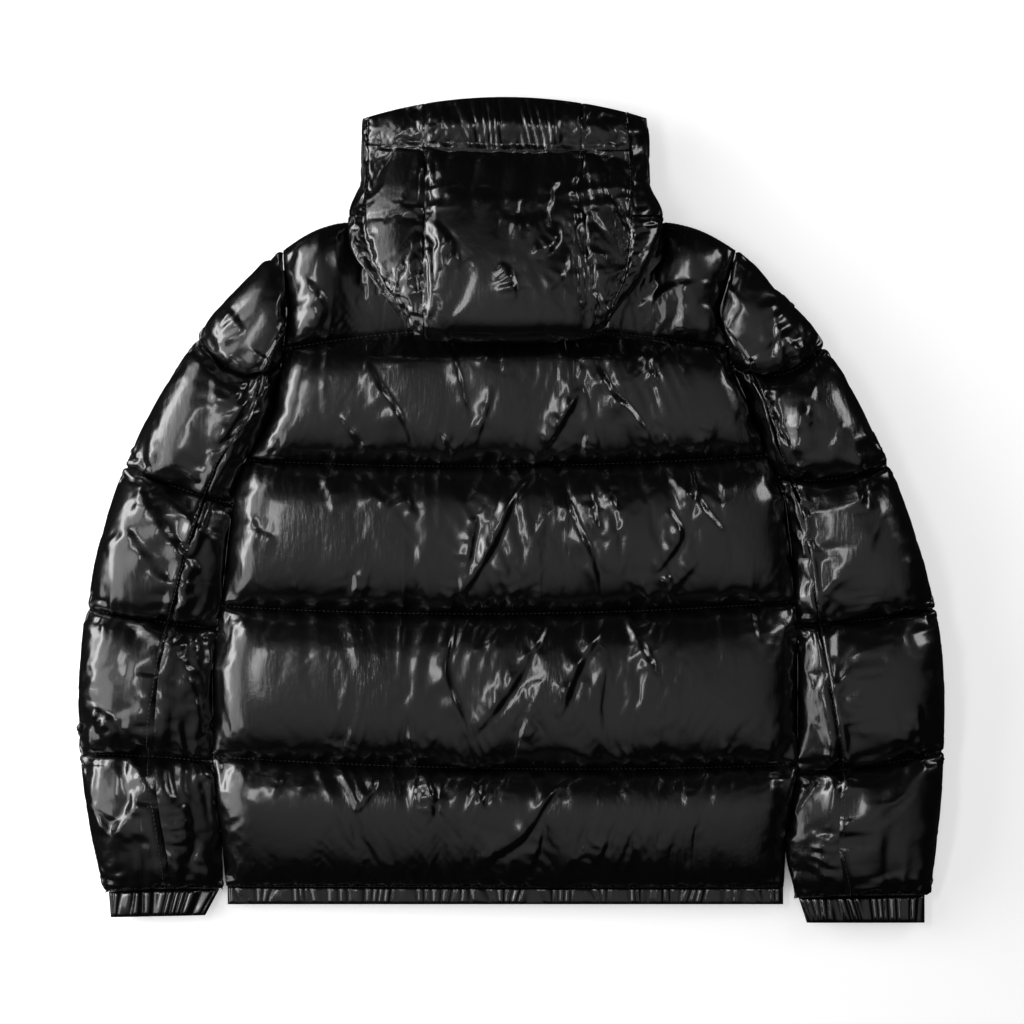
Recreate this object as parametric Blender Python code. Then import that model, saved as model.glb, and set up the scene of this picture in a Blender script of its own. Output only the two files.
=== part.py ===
"""A black down puffer jacket lying face down, back up, with its hood folded onto the back.

Metres, +Z up. The floor is z = 0, +Y runs from the hem to the hood and +X to the wearer's right.
Every cut piece is one closed wall: an outer shell point and a lining point for each row and column.
Left and right are the wearer's, so left is at -X.
"""

import math

import bmesh
import bpy
from mathutils import Matrix, Vector

# Thicknesses and clearances
WALL = 0.003  # shell and lining drawn together at a stitch line
LINING_GAP = 0.0004  # each lining's distance from the plane where two layers meet
SEAM_GAP = 0.0004  # between pieces that are sewn edge to edge
SIDE_GAP = 0.0015  # between the body's edge and the sleeve beside it
FOLD_WALL = 0.009  # padding from a tube's folded edge to its hollow

# Heights over the floor
BODY_MID = 0.034  # plane where the front's lining meets the back's
HEM_MID = 0.013  # the same plane at the hem, which droops
CENTRE_X = -0.006  # the zip's line and the middle of the back
RECENTRE = Vector((0.00045, -0.00225, 0))  # brings the middle of the whole outline over the origin
HEM_END_Y = -0.392
ROWS_IN_BAFFLE = (0.0, 0.08, 0.26, 0.5, 0.74, 0.92)
BACK_COLUMNS = (0.0, 0.25, 0.5, 0.72, 0.88, 0.965, 1.0)

# Stitch lines across the body from the hem to the top edge: y at the left, middle and right
BODY_LINES = [
    # name, left_y, middle_y, right_y, loft of the baffle above the line
    ("hem_seam", -0.376, -0.377, -0.377, 0.036),
    ("quilt_1", -0.245, -0.257, -0.253, 0.044),
    ("quilt_2", -0.094, -0.102, -0.090, 0.044),
    ("quilt_3", 0.052, 0.046, 0.057, 0.040),
    ("quilt_4", 0.163, 0.184, 0.163, 0.037),
    ("top_edge", 0.262, 0.277, 0.262, 0.0),
]

# The body's outline, side seam then armhole: x at the left and right for a height y
BODY_EDGE = [
    # y, left_x, right_x
    (-0.400, -0.286, 0.273),
    (-0.377, -0.287, 0.273),
    (-0.322, -0.292, 0.275),
    (-0.283, -0.296, 0.281),
    (-0.248, -0.299, 0.286),
    (-0.155, -0.300, 0.286),
    (-0.093, -0.291, 0.284),
    (-0.033, -0.285, 0.279),
    (0.012, -0.279, 0.273),
    (0.050, -0.268, 0.257),
    (0.075, -0.252, 0.249),
    (0.100, -0.239, 0.240),
    (0.150, -0.231, 0.219),
    (0.200, -0.225, 0.209),
    (0.262, -0.229, 0.224),
]

NECK_HALF = 0.161  # from the centre to the point where shoulder and neck meet
NECK_POINT_Y = 0.290
BACK_NECK_Y = 0.277
FRONT_NECK_Y = 0.215
COLLAR_TOP_Y = 0.335  # top of the zip, at the chin

# Sleeve stitch lines from the armhole to the wrist. The inner end follows the body's edge.
SLEEVE_LINES = {
    "left": [
        # name, outer_x, outer_y, inner_y, dip of the line's middle, mid height, loft, elbow seam
        ("armhole", -0.2305, 0.261, 0.166, 0.000, 0.034, 0.034, 0.62),
        ("quilt_1", -0.313, 0.172, 0.150, -0.022, 0.034, 0.038, 0.60),
        ("quilt_2", -0.386, 0.045, 0.008, -0.003, 0.034, 0.039, 0.50),
        ("quilt_3", -0.424, -0.097, -0.117, -0.002, 0.033, 0.039, 0.28),
        ("quilt_4", -0.431, -0.243, -0.251, 0.002, 0.031, 0.036, 0.12),
        ("wrist", -0.409, -0.382, -0.379, 0.002, 0.014, 0.0, 0.14),
    ],
    "right": [
        ("armhole", 0.2255, 0.261, 0.166, 0.000, 0.034, 0.034, 0.55),
        ("quilt_1", 0.311, 0.164, 0.150, -0.020, 0.034, 0.038, 0.55),
        ("quilt_2", 0.375, 0.047, 0.036, -0.009, 0.034, 0.039, 0.72),
        ("quilt_3", 0.422, -0.097, -0.114, -0.003, 0.033, 0.039, 0.79),
        ("quilt_4", 0.431, -0.240, -0.262, -0.004, 0.031, 0.036, 0.40),
        ("wrist", 0.419, -0.385, -0.388, 0.001, 0.014, 0.0, 0.26),
    ],
}
WRIST_TUCK = {"left": 0.005, "right": 0.015}  # the wrist's inner end, in from the body's edge
CUFF_END = {
    # outer_x, outer_y, inner_x, inner_y
    "left": (-0.401, -0.4055, -0.3065, -0.4030),
    "right": (0.413, -0.411, 0.295, -0.411),
}
CUFF_INSET = 0.003
CUFF_HALF = 0.0095
FRONT_SLEEVE_SEAM = 0.55

# Hood rows from the brim to the fold at its lower end
HOOD_ROWS = [
    # name, left_y, middle_y, right_y, fold left_x, right_x, outer seam left_x, right_x,
    # centre seam left_x, right_x, hollow height, loft over the hollow, loft under it
    ("brim", 0.393, 0.4155, 0.392, -0.150, 0.135, -0.1445, 0.115, -0.087, 0.070, 0.031, 0.004, 0.0),
    ("band", 0.381, 0.388, 0.378, -0.151, 0.1365, -0.1455, 0.1165, -0.087, 0.070, 0.032, 0.025, 0.0),
    ("tunnel", 0.370, 0.362, 0.364, -0.150, 0.136, -0.1455, 0.118, -0.0875, 0.070, 0.033, 0.011, 0.0),
    ("face", 0.328, 0.326, 0.328, -0.152, 0.138, -0.1455, 0.120, -0.0865, 0.071, 0.037, 0.034, 0.0),
    ("neck", 0.298, 0.294, 0.297, -0.163, 0.151, -0.1475, 0.120, -0.0875, 0.072, 0.046, 0.036, 0.004),
    ("crown", 0.262, 0.258, 0.262, -0.160, 0.144, -0.1410, 0.118, -0.0885, 0.075, 0.066, 0.037, 0.010),
    ("back", 0.230, 0.224, 0.230, -0.140, 0.128, -0.1270, 0.110, -0.0870, 0.078, 0.078, 0.036, 0.013),
    ("nape", 0.203, 0.196, 0.205, -0.117, 0.105, -0.1080, 0.098, -0.0865, 0.080, 0.080, 0.031, 0.014),
    ("fold", 0.184, 0.166, 0.184, -0.096, 0.086, -0.0940, 0.086, -0.0870, 0.080, 0.074, 0.0, 0.0),
]
HOOD_NECK_ROWS = (4.1, 5.0, 6.0, 6.6, 7.2, 7.6)
HOOD_HALF = 0.150
UNDER_HOOD_LOFT = 0.38  # share of the back's loft left under the folded hood
NECK_SLOPE = 0.050  # distance from the neck seam over which the back rises to that

# Zip
CHAIN_HALF = 0.0026
TAPE_WIDTH = 0.007
ZIP_DROP = 0.0032  # below the plane where the linings meet
SLIDER = {"width": 0.0090, "length": 0.0120, "thick": 0.0046, "top_y": 0.3340}
BRIDGE = {"width": 0.0020, "length": 0.0090, "rise": 0.0040, "bar": 0.0012}
PULL = {"width": 0.0070, "length": 0.0200, "thick": 0.0013, "window": 0.0064, "window_width": 0.0042}

SHELL = {"color": (0.006, 0.006, 0.007, 1), "roughness": 0.22, "metallic": 0.0}
TAPE = {"color": (0.010, 0.010, 0.011, 1), "roughness": 0.75, "metallic": 0.0}
METAL = {"color": (0.06, 0.06, 0.065, 1), "roughness": 0.3, "metallic": 1.0}


def clear_scene():
    for item in list(bpy.data.objects):
        bpy.data.objects.remove(item, do_unlink=True)


def material(name, look):
    made = bpy.data.materials.new(name)
    made.use_nodes = True
    shader = made.node_tree.nodes["Principled BSDF"]
    shader.inputs["Base Color"].default_value = look["color"]
    shader.inputs["Roughness"].default_value = look["roughness"]
    shader.inputs["Metallic"].default_value = look["metallic"]
    return made


def lerp(a, b, f):
    return a + (b - a) * f


def smooth(f):
    f = min(1.0, max(0.0, f))
    return f * f * (3 - 2 * f)


def at(rows, column, t):
    """One column of a table at a fractional row, on a smooth curve through the rows."""
    last = len(rows) - 1
    k = min(int(t), last - 1)
    f = t - k
    a, b = rows[k][column], rows[k + 1][column]
    before = rows[k - 1][column] if k > 0 else 2 * a - b
    after = rows[k + 2][column] if k + 2 <= last else 2 * b - a
    start, end = (b - before) / 2, (after - a) / 2
    return (
        (2 * f**3 - 3 * f**2 + 1) * a
        + (f**3 - 2 * f**2 + f) * start
        + (3 * f**2 - 2 * f**3) * b
        + (f**3 - f**2) * end
    )


def edge_x(y, side):
    """The body's outline at height y, -X for side 1 and +X for side 2."""
    for low, high in zip(BODY_EDGE, BODY_EDGE[1:]):
        if y <= high[0]:
            break
    f = min(1.0, max(0.0, (y - low[0]) / (high[0] - low[0])))
    return lerp(low[side], high[side], f)


def across(left, middle, right, u):
    """A value that passes through left, middle and right as u goes from -1 to 1."""
    return middle + u * (right - left) / 2 + u * u * ((left + right) / 2 - middle)


def baffle(t):
    """How full a baffle is at row t: 0 on a stitch line and 1 half way to the next."""
    f = t - math.floor(t + 1e-9)
    return max(0.0, 1 - abs(2 * f - 1) ** 2.6) ** 0.5


def rounded(u, power):
    return max(0.0, 1 - abs(u) ** power) ** 0.5


def rows_of(lines):
    """Row numbers from the first line to the last, a few in each baffle."""
    count = len(lines) - 1
    return [k + f for k in range(count) for f in ROWS_IN_BAFFLE] + [float(count)]


def wall(name, outer, lining, look, closed=False):
    """One closed solid between two grids of points. closed joins the last column to the first."""
    mesh = bmesh.new()
    shell = [[mesh.verts.new(p) for p in row] for row in outer]
    inside = [[mesh.verts.new(p) for p in row] for row in lining]
    rows, columns = len(outer), len(outer[0])
    steps = [(j, (j + 1) % columns) for j in range(columns if closed else columns - 1)]
    for i in range(rows - 1):
        for a, b in steps:
            mesh.faces.new((shell[i][a], shell[i][b], shell[i + 1][b], shell[i + 1][a]))
            mesh.faces.new((inside[i][a], inside[i + 1][a], inside[i + 1][b], inside[i][b]))
    for i in (0, rows - 1):
        for a, b in steps:
            mesh.faces.new((shell[i][a], inside[i][a], inside[i][b], shell[i][b]))
    if not closed:
        for j in (0, columns - 1):
            for i in range(rows - 1):
                mesh.faces.new((shell[i][j], shell[i + 1][j], inside[i + 1][j], inside[i][j]))
    return finish(name, mesh, look)


def finish(name, mesh, look):
    bmesh.ops.triangulate(mesh, faces=mesh.faces[:])
    bmesh.ops.recalc_face_normals(mesh, faces=mesh.faces[:])
    data = bpy.data.meshes.new(name)
    mesh.to_mesh(data)
    mesh.free()
    data.materials.append(look)
    data.shade_smooth()
    data.set_sharp_from_angle(angle=math.radians(40))
    made = bpy.data.objects.new(name, data)
    bpy.context.scene.collection.objects.link(made)
    return made


def block(mesh, low, high):
    """Adds a box between two corners."""
    size = [b - a for a, b in zip(low, high)]
    middle = [(a + b) / 2 for a, b in zip(low, high)]
    matrix = Matrix.Translation(middle) @ Matrix.Diagonal((*size, 1))
    return bmesh.ops.create_cube(mesh, size=1, matrix=matrix)["verts"]


# ---- body ----


def neck_share(x):
    return min(1.0, abs(x - CENTRE_X) / NECK_HALF)


def top_y(x, neck_y):
    """The top edge of a body panel: the shoulder seam, then the neckline inside it."""
    d = abs(x - CENTRE_X)
    if d <= NECK_HALF:
        return neck_y + (NECK_POINT_Y - neck_y) * (d / NECK_HALF) ** 2
    side = 1 if x < CENTRE_X else 2
    tip = abs(edge_x(BODY_LINES[-1][1], side) - CENTRE_X)
    return lerp(NECK_POINT_Y, BODY_LINES[-1][1], (d - NECK_HALF) / (tip - NECK_HALF))


def body_plan(u, t, neck_y):
    """(x, y) on the body for u from the left edge -1 to the right edge 1."""
    last = len(BODY_LINES) - 1
    k = min(int(t), last - 1)
    low, high = BODY_LINES[k], BODY_LINES[k + 1]
    f = t - k
    left_y, right_y = lerp(low[1], high[1], f), lerp(low[3], high[3], f)
    left, right = edge_x(left_y, 1), edge_x(right_y, 2)
    x = lerp(left, CENTRE_X, u + 1) if u < 0 else lerp(CENTRE_X, right, u)
    y_low = across(low[1], low[2], low[3], u)
    y_high = across(high[1], high[2], high[3], u) if k < last - 1 else top_y(x, neck_y)
    return x, lerp(y_low, y_high, f)


def body_mid(t):
    return lerp(HEM_MID, BODY_MID, smooth(t / 0.75))


def under_hood(x, y):
    """1 beneath the folded hood and 0 away from it."""
    beside = 1 - smooth((abs(x - CENTRE_X) - 0.140) / 0.050)
    return beside * smooth((y - 0.150) / 0.030)


def back_point(u, t):
    x, y = body_plan(u, t, BACK_NECK_Y)
    loft = BODY_LINES[min(int(t), len(BODY_LINES) - 2)][4]
    slope = smooth((top_y(x, BACK_NECK_Y) - y) / NECK_SLOPE)
    loft *= 1 - under_hood(x, y) * (1 - UNDER_HOOD_LOFT * slope)
    mid = body_mid(t)
    up = WALL + loft * baffle(t) * rounded(u, 8)
    return Vector((x, y, mid + up)), Vector((x, y, mid + LINING_GAP))


def front_point(u, t, edge):
    """A point of a front panel for u from its side seam, -1 or 1, to its zip edge at 0."""
    side = -1 if u < 0 or edge < 0 else 1
    x, y = body_plan(u, t, FRONT_NECK_Y)
    zip_x = CENTRE_X + side * (CHAIN_HALF + TAPE_WIDTH + 2 * SEAM_GAP)
    x += (zip_x - CENTRE_X) * (1 - abs(u))
    mid = body_mid(t)
    full = baffle(t) * rounded(u, 8) * rounded(1 - abs(u), 10)
    down = WALL + 1.4 * (mid - WALL) * full
    return Vector((x, y, max(0.0, mid - down))), Vector((x, y, mid - LINING_GAP))


def build_body(look):
    rows = rows_of(BODY_LINES)
    columns = [-u for u in reversed(BACK_COLUMNS[1:])] + list(BACK_COLUMNS)
    grid = [[back_point(u, t) for u in columns] for t in rows]
    wall("back", [[p[0] for p in row] for row in grid], [[p[1] for p in row] for row in grid], look)
    front_columns = (0.0, 0.04, 0.14, 0.35, 0.6, 0.8, 0.93, 1.0)
    for side, name in ((-1, "front_left"), (1, "front_right")):
        grid = [[front_point(side * u, t, side) for u in front_columns] for t in rows]
        wall(name, [[p[0] for p in row] for row in grid], [[p[1] for p in row] for row in grid], look)


def build_hem_band(look):
    """One folded strip round the hem, open at the zip."""
    half, round_end = 0.0055, 0.0040
    zip_half = CHAIN_HALF + TAPE_WIDTH + 2 * SEAM_GAP
    left, right = edge_x(HEM_END_Y, 1), edge_x(HEM_END_Y, 2)
    inner_left, inner_right = left + 0.006, right - 0.006
    spread = (0.0, 0.25, 0.5, 0.75, 1.0)
    under_right = [(lerp(CENTRE_X + zip_half, inner_right, f), -1) for f in spread]
    top = [(lerp(inner_right, inner_left, f / 8), 1) for f in range(9)]
    under_left = [(lerp(inner_left, CENTRE_X - zip_half, f), -1) for f in spread]
    path = [*under_right, (right, 0), *top, (left, 0), *under_left]
    outer, lining = [], []
    for f in (0.0, 0.5, 1.0):
        outer_row, lining_row = [], []
        for x, side in path:
            u = min(1.0, max(-1.0, (x - CENTRE_X) / (right - CENTRE_X if x > CENTRE_X else CENTRE_X - left)))
            y = lerp(body_plan(u, 0, 0)[1] - SEAM_GAP, HEM_END_Y, f)
            swell = half if f == 0.5 else round_end
            outer_row.append(Vector((x, y, HEM_MID + side * swell)))
            pulled = lerp(CENTRE_X, x, 0.985) if side == 0 else x
            lining_row.append(Vector((pulled, y, HEM_MID + side * LINING_GAP)))
        outer.append(outer_row)
        lining.append(lining_row)
    wall("hem_band", outer, lining, look)


# ---- sleeves ----


def sleeve_plan(side, u, t):
    """(x, y) on a sleeve for u from its outer edge -1 to its inner edge 1."""
    lines = SLEEVE_LINES[side]
    hand, column = (-1, 1) if side == "left" else (1, 2)
    last = len(lines) - 1
    outer_x, outer_y = at(lines, 1, t), at(lines, 2, t)
    inner_y = lerp(lines[min(int(t), last - 1)][3], lines[min(int(t), last - 1) + 1][3], t - min(int(t), last - 1))
    tuck = WRIST_TUCK[side] * smooth(t - last + 1)
    inner_x = edge_x(inner_y, column) + hand * (SIDE_GAP + tuck)
    f = (u + 1) / 2
    dip = at(lines, 4, t) * (1 - u * u)
    return lerp(outer_x, inner_x, f), lerp(outer_y, inner_y, f) + dip


def sleeve_point(side, u, level, t, shift=0.0):
    """Shell and lining points. level is 1 on top, -1 underneath and 0 on a folded edge."""
    lines = SLEEVE_LINES[side]
    k = min(int(t), len(lines) - 2)
    mid, loft = at(lines, 5, t), lines[k][6]
    seam = at(lines, 7, t)
    x, y = sleeve_plan(side, u, t)
    edge_a, edge_b = Vector(sleeve_plan(side, -1, t)), Vector(sleeve_plan(side, 1, t))
    along = (edge_b - edge_a).normalized()
    width = (edge_b - edge_a).length
    full = baffle(t) * rounded(u, 3.2)
    if level > 0:
        groove = 1 - 0.22 * math.exp(-(((u - seam) / 0.10) ** 2))
        z = mid + WALL + loft * full * groove
    elif level < 0:
        z = max(0.0, mid - WALL - 1.5 * (mid - WALL) * full)
    else:
        z = mid
    pull = 1 - FOLD_WALL / (width / 2)
    inner_x, inner_y = sleeve_plan(side, u * pull, t)
    step = along * shift
    outer = Vector((x + step.x, y + step.y, z))
    lining = Vector((inner_x + step.x, inner_y + step.y, mid + level * LINING_GAP))
    return outer, lining


def build_sleeve(side, look):
    lines = SLEEVE_LINES[side]
    rows = rows_of(lines)
    gap = SEAM_GAP * 0.8

    def piece(name, path):
        grid = [[sleeve_point(side, *place(t), t, shift) for place, shift in path] for t in rows]
        wall(name, [[p[0] for p in row] for row in grid], [[p[1] for p in row] for row in grid], look)

    def on_top(f, end):
        return lambda t: (lerp(at(lines, 7, t), end, f), 1)

    def fixed(u, level):
        return lambda t: (u, level)

    outer_path = [(on_top(0, -1), -gap), (on_top(0.2, -1), 0), (on_top(0.5, -1), 0), (on_top(0.8, -1), 0)]
    outer_path += [(fixed(-0.97, 1), 0), (fixed(-1, 0), 0), (fixed(-0.97, -1), 0), (fixed(-0.75, -1), 0)]
    outer_path += [(fixed(-0.1, -1), 0), (fixed(FRONT_SLEEVE_SEAM, -1), -gap)]
    piece(f"sleeve_{side}_outer", outer_path)
    under_path = [(on_top(0, 0.97), gap), (on_top(0.5, 0.97), 0), (fixed(0.97, 1), 0), (fixed(1, 0), 0)]
    under_path += [(fixed(0.97, -1), 0), (fixed(0.8, -1), 0), (fixed(FRONT_SLEEVE_SEAM, -1), gap)]
    piece(f"sleeve_{side}_under", under_path)


def build_cuff(side, look):
    """A flat elastic band, one closed ring, from the wrist seam to the hand."""
    end = CUFF_END[side]
    last = len(SLEEVE_LINES[side]) - 1
    start_outer = Vector(sleeve_plan(side, -1, last))
    start_inner = Vector(sleeve_plan(side, 1, last))
    inward = (start_inner - start_outer).normalized() * CUFF_INSET
    start_outer += inward
    start_inner -= inward
    stop_outer, stop_inner = Vector(end[:2]), Vector(end[2:])
    down = (stop_outer - start_outer).normalized() * SEAM_GAP
    sweep = (0.03, 0.25, 0.5, 0.75, 0.97)
    ring = [(0.0, 0), *[(f, 1) for f in sweep], (1.0, 0), *[(f, -1) for f in reversed(sweep)]]
    mid = at(SLEEVE_LINES[side], 5, last)
    outer, lining = [], []
    for f in (0.0, 0.5, 1.0):
        a = start_outer.lerp(stop_outer, f) + down * (1 - f)
        b = start_inner.lerp(stop_inner, f) + down * (1 - f)
        half = lerp(0.008, CUFF_HALF, math.sin(math.pi * f))
        outer.append([Vector((*a.lerp(b, g), mid + level * half)) for g, level in ring])
        lining.append([Vector((*a.lerp(b, 0.5 + (g - 0.5) * 0.93), mid + level * LINING_GAP)) for g, level in ring])
    wall(f"cuff_{side}", outer, lining, look, closed=True)


# ---- hood and collar ----


def hood_y(x, t):
    u = (x - CENTRE_X) / HOOD_HALF
    return across(at(HOOD_ROWS, 1, t), at(HOOD_ROWS, 2, t), at(HOOD_ROWS, 3, t), max(-1.0, min(1.0, u)))


def hood_round(x, t):
    """0 on the hood's folded sides and 1 well inside them."""
    left, right = at(HOOD_ROWS, 4, t), at(HOOD_ROWS, 5, t)
    u = (2 * x - left - right) / (right - left)
    return rounded(min(1.0, max(-1.0, u)), 5)


def seam_groove(x, t):
    near = min(abs(x - at(HOOD_ROWS, c, t)) for c in (8, 9))
    return 1 - 0.25 * math.exp(-((near / 0.012) ** 2))


def hood_point(x, t, level):
    """Shell and lining points of the hood. level is 1 over its hollow, -1 under and 0 on a fold."""
    y = hood_y(x, t)
    hollow = at(HOOD_ROWS, 10, t)
    full = hood_round(x, t)
    if level > 0:
        z = hollow + WALL + at(HOOD_ROWS, 11, t) * full * seam_groove(x, t)
    elif level < 0:
        z = hollow - WALL - at(HOOD_ROWS, 12, t) * full
    else:
        z = hollow
    return Vector((x, y, z)), Vector((x, y, hollow + level * LINING_GAP))


def at_neck_seam(shell, inside, share):
    """Brings a point of the hood's lower layer down to the back's neck seam."""
    shell.z = lerp(shell.z, BODY_MID + WALL + 2 * SEAM_GAP, share)
    inside.z = min(inside.z, shell.z + WALL)
    shell.y = inside.y = lerp(shell.y, top_y(shell.x, BACK_NECK_Y) + SEAM_GAP, share)


def build_hood_centre(look):
    """The middle strip, from the brim over the crown, round the fold and under to the neck seam."""
    last = len(HOOD_ROWS) - 1
    top_rows = [0, 0.5, 1, 1.6, 2, 2.4, 3, 4, 5, 6, 6.6, 7.2, 7.7]
    under_rows = [7.7, *reversed(HOOD_NECK_ROWS[:-1])]
    outer, lining = [], []
    for t, level in [*[(t, 1) for t in top_rows], (last, 0), *[(t, -1) for t in under_rows]]:
        left, right = at(HOOD_ROWS, 8, t) + SEAM_GAP, at(HOOD_ROWS, 9, t) - SEAM_GAP
        pairs = [hood_point(lerp(left, right, f / 6), t, level) for f in range(7)]
        if level == 0:
            for shell, inside in pairs:
                inside.y += FOLD_WALL
        if level < 0 and t == HOOD_NECK_ROWS[0]:
            for shell, inside in pairs:
                at_neck_seam(shell, inside, 1.0)
        outer.append([p[0] for p in pairs])
        lining.append([p[1] for p in pairs])
    wall("hood_centre", outer, lining, look)


def build_hood_side(side, look):
    """The side panel between the centre strip's seam and the outer seam, coming to a blunt point."""
    centre, edge, hand = (8, 6, -1) if side == "left" else (9, 7, 1)
    outer, lining = [], []
    for t in (0, 0.5, 1, 1.6, 2, 2.4, 3, 4, 5, 6, 6.6, 7.2):
        start = at(HOOD_ROWS, centre, t) + hand * SEAM_GAP
        end = at(HOOD_ROWS, edge, t) - hand * SEAM_GAP
        pairs = [hood_point(lerp(start, end, f), t, 1) for f in (0, 0.3, 0.65, 1)]
        outer.append([p[0] for p in pairs])
        lining.append([p[1] for p in pairs])
    wall(f"hood_side_{side}", outer, lining, look)


def build_hood_neck(side, look):
    """The neck panel: a crescent outside the side panel that runs round the fold and under the hood."""
    centre, edge, fold, hand = (8, 6, 4, -1) if side == "left" else (9, 7, 5, 1)
    outer, lining = [], []
    for t in HOOD_NECK_ROWS:
        seam = at(HOOD_ROWS, edge, t) + hand * SEAM_GAP
        rim = at(HOOD_ROWS, fold, t)
        inner = at(HOOD_ROWS, centre, t) + hand * SEAM_GAP
        room = abs(rim - seam)
        path = [(seam, 1), (lerp(seam, rim, 0.7), 1), (rim, 0), (lerp(rim, seam, 0.3), -1)]
        path += [(lerp(seam, inner, 0.35), -1), (inner, -1)]
        outer_row, lining_row = [], []
        for x, level in path:
            shell, inside = hood_point(x, t, level)
            if level == 0:
                inside.x -= hand * room * 0.45
            if t == HOOD_NECK_ROWS[0] and level < 0:
                at_neck_seam(shell, inside, min(1.0, abs(x - rim) / abs(inner - rim) * 2.5))
            outer_row.append(shell)
            lining_row.append(inside)
        outer.append(outer_row)
        lining.append(lining_row)
    wall(f"hood_neck_{side}", outer, lining, look)


def build_collar(side, look):
    """The chin panel: from the hood's outer seam round the folded edge and under to the zip."""
    edge, fold, hand = (6, 4, -1) if side == "left" else (7, 5, 1)
    zip_x = CENTRE_X + hand * (CHAIN_HALF + TAPE_WIDTH + 2 * SEAM_GAP)
    neck_row = HOOD_NECK_ROWS[0] - 0.08
    outer, lining = [], []
    for f in (0.0, 0.12, 0.35, 0.65, 0.9, 1.0):
        t = lerp(neck_row, 0, f)
        seam = at(HOOD_ROWS, edge, t) + hand * SEAM_GAP
        rim = at(HOOD_ROWS, fold, t)
        hollow = at(HOOD_ROWS, 10, t)
        full = (1 - abs(2 * f - 1) ** 4) ** 0.5
        outer_row, lining_row = [], []
        for x, level in ((seam, 1), (lerp(seam, rim, 0.7), 1), (rim, 0)):
            shell, inside = hood_point(x, t, level)
            if level == 0:
                shell.z = hollow * 0.6
                inside.x -= hand * abs(rim - seam) * 0.45
                inside.z = lerp(BODY_MID, hollow, smooth(f / 0.35)) - LINING_GAP
            outer_row.append(shell)
            lining_row.append(inside)
        for g in (0.04, 0.2, 0.5, 0.8, 0.94, 1.0):
            x = lerp(rim, zip_x, g)
            d = neck_share(x)
            low = top_y(x, FRONT_NECK_Y) + SEAM_GAP
            high = lerp(COLLAR_TOP_Y, hood_y(rim, 0), d**2)
            y = lerp(low, high, f)
            mid = min(hollow, BODY_MID) - LINING_GAP
            at_zip = rounded(g, 16)
            z = max(0.0, mid - WALL - 1.4 * mid * full * at_zip)
            outer_row.append(Vector((x, y, z)))
            lining_row.append(Vector((x, y, mid - LINING_GAP)))
        outer.append(outer_row)
        lining.append(lining_row)
    wall(f"collar_{side}", outer, lining, look)


# ---- zip ----


def zip_mid(y):
    """Height of the zip's line: it follows the body's mid plane and droops at the hem."""
    t = (y - BODY_LINES[0][2]) / (BODY_LINES[1][2] - BODY_LINES[0][2])
    return body_mid(max(0.0, t)) - ZIP_DROP


def zip_strip(name, left, right, thick, start_y, end_y, look):
    rows = [start_y, -0.370, -0.340, -0.310, -0.280, -0.250, end_y]
    under = [[Vector((x, y, zip_mid(y) - thick / 2)) for x in (left, right)] for y in rows]
    over = [[Vector((x, y, zip_mid(y) + thick / 2)) for x in (left, right)] for y in rows]
    wall(name, under, over, look)


def build_zip(tape, metal):
    chain_end = SLIDER["top_y"] - SLIDER["length"] - SEAM_GAP
    zip_strip("zip_chain", CENTRE_X - CHAIN_HALF, CENTRE_X + CHAIN_HALF, 0.0022, HEM_END_Y, chain_end, metal)
    for side, hand in (("left", -1), ("right", 1)):
        near = CENTRE_X + hand * (CHAIN_HALF + SEAM_GAP)
        far = near + hand * (TAPE_WIDTH - SEAM_GAP)
        zip_strip(f"zip_tape_{side}", near, far, 0.0010, HEM_END_Y, chain_end, tape)
    build_slider(metal)
    build_pull(metal)


def slider_place():
    middle_y = SLIDER["top_y"] - SLIDER["length"] / 2
    return middle_y, zip_mid(middle_y)


def build_slider(look):
    """A tapered body with an arched bridge on its outer, lower face."""
    middle_y, z = slider_place()
    half = SLIDER["thick"] / 2
    mesh = bmesh.new()
    corners = block(
        mesh,
        (CENTRE_X - SLIDER["width"] / 2, middle_y - SLIDER["length"] / 2, z - half),
        (CENTRE_X + SLIDER["width"] / 2, middle_y + SLIDER["length"] / 2, z + half),
    )
    for corner in corners:
        if corner.co.y < middle_y:
            corner.co.x = lerp(CENTRE_X, corner.co.x, 0.68)
    bmesh.ops.bevel(mesh, geom=mesh.edges[:], offset=0.0006, segments=1, profile=0.5, affect="EDGES")
    body = finish("zip_slider", mesh, look)
    bridge = bmesh.new()
    face = z - half
    low = face - BRIDGE["rise"]
    wide, long, bar = BRIDGE["width"] / 2, BRIDGE["length"] / 2, BRIDGE["bar"]
    block(bridge, (CENTRE_X - wide, middle_y - long, low), (CENTRE_X + wide, middle_y + long, face + 0.001))
    arch = finish("slider_bridge", bridge, look)
    eye = bmesh.new()
    block(eye, (CENTRE_X - 0.01, middle_y - long + bar, low + bar), (CENTRE_X + 0.01, middle_y + long - bar, face))
    hole = finish("bridge_eye", eye, look)
    for helper, target, operation in ((hole, arch, "DIFFERENCE"), (arch, body, "UNION")):
        helper.hide_render = True
        helper.display_type = "WIRE"
        cut = target.modifiers.new(operation.title(), "BOOLEAN")
        cut.operation = operation
        cut.object = helper
    return body


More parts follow.
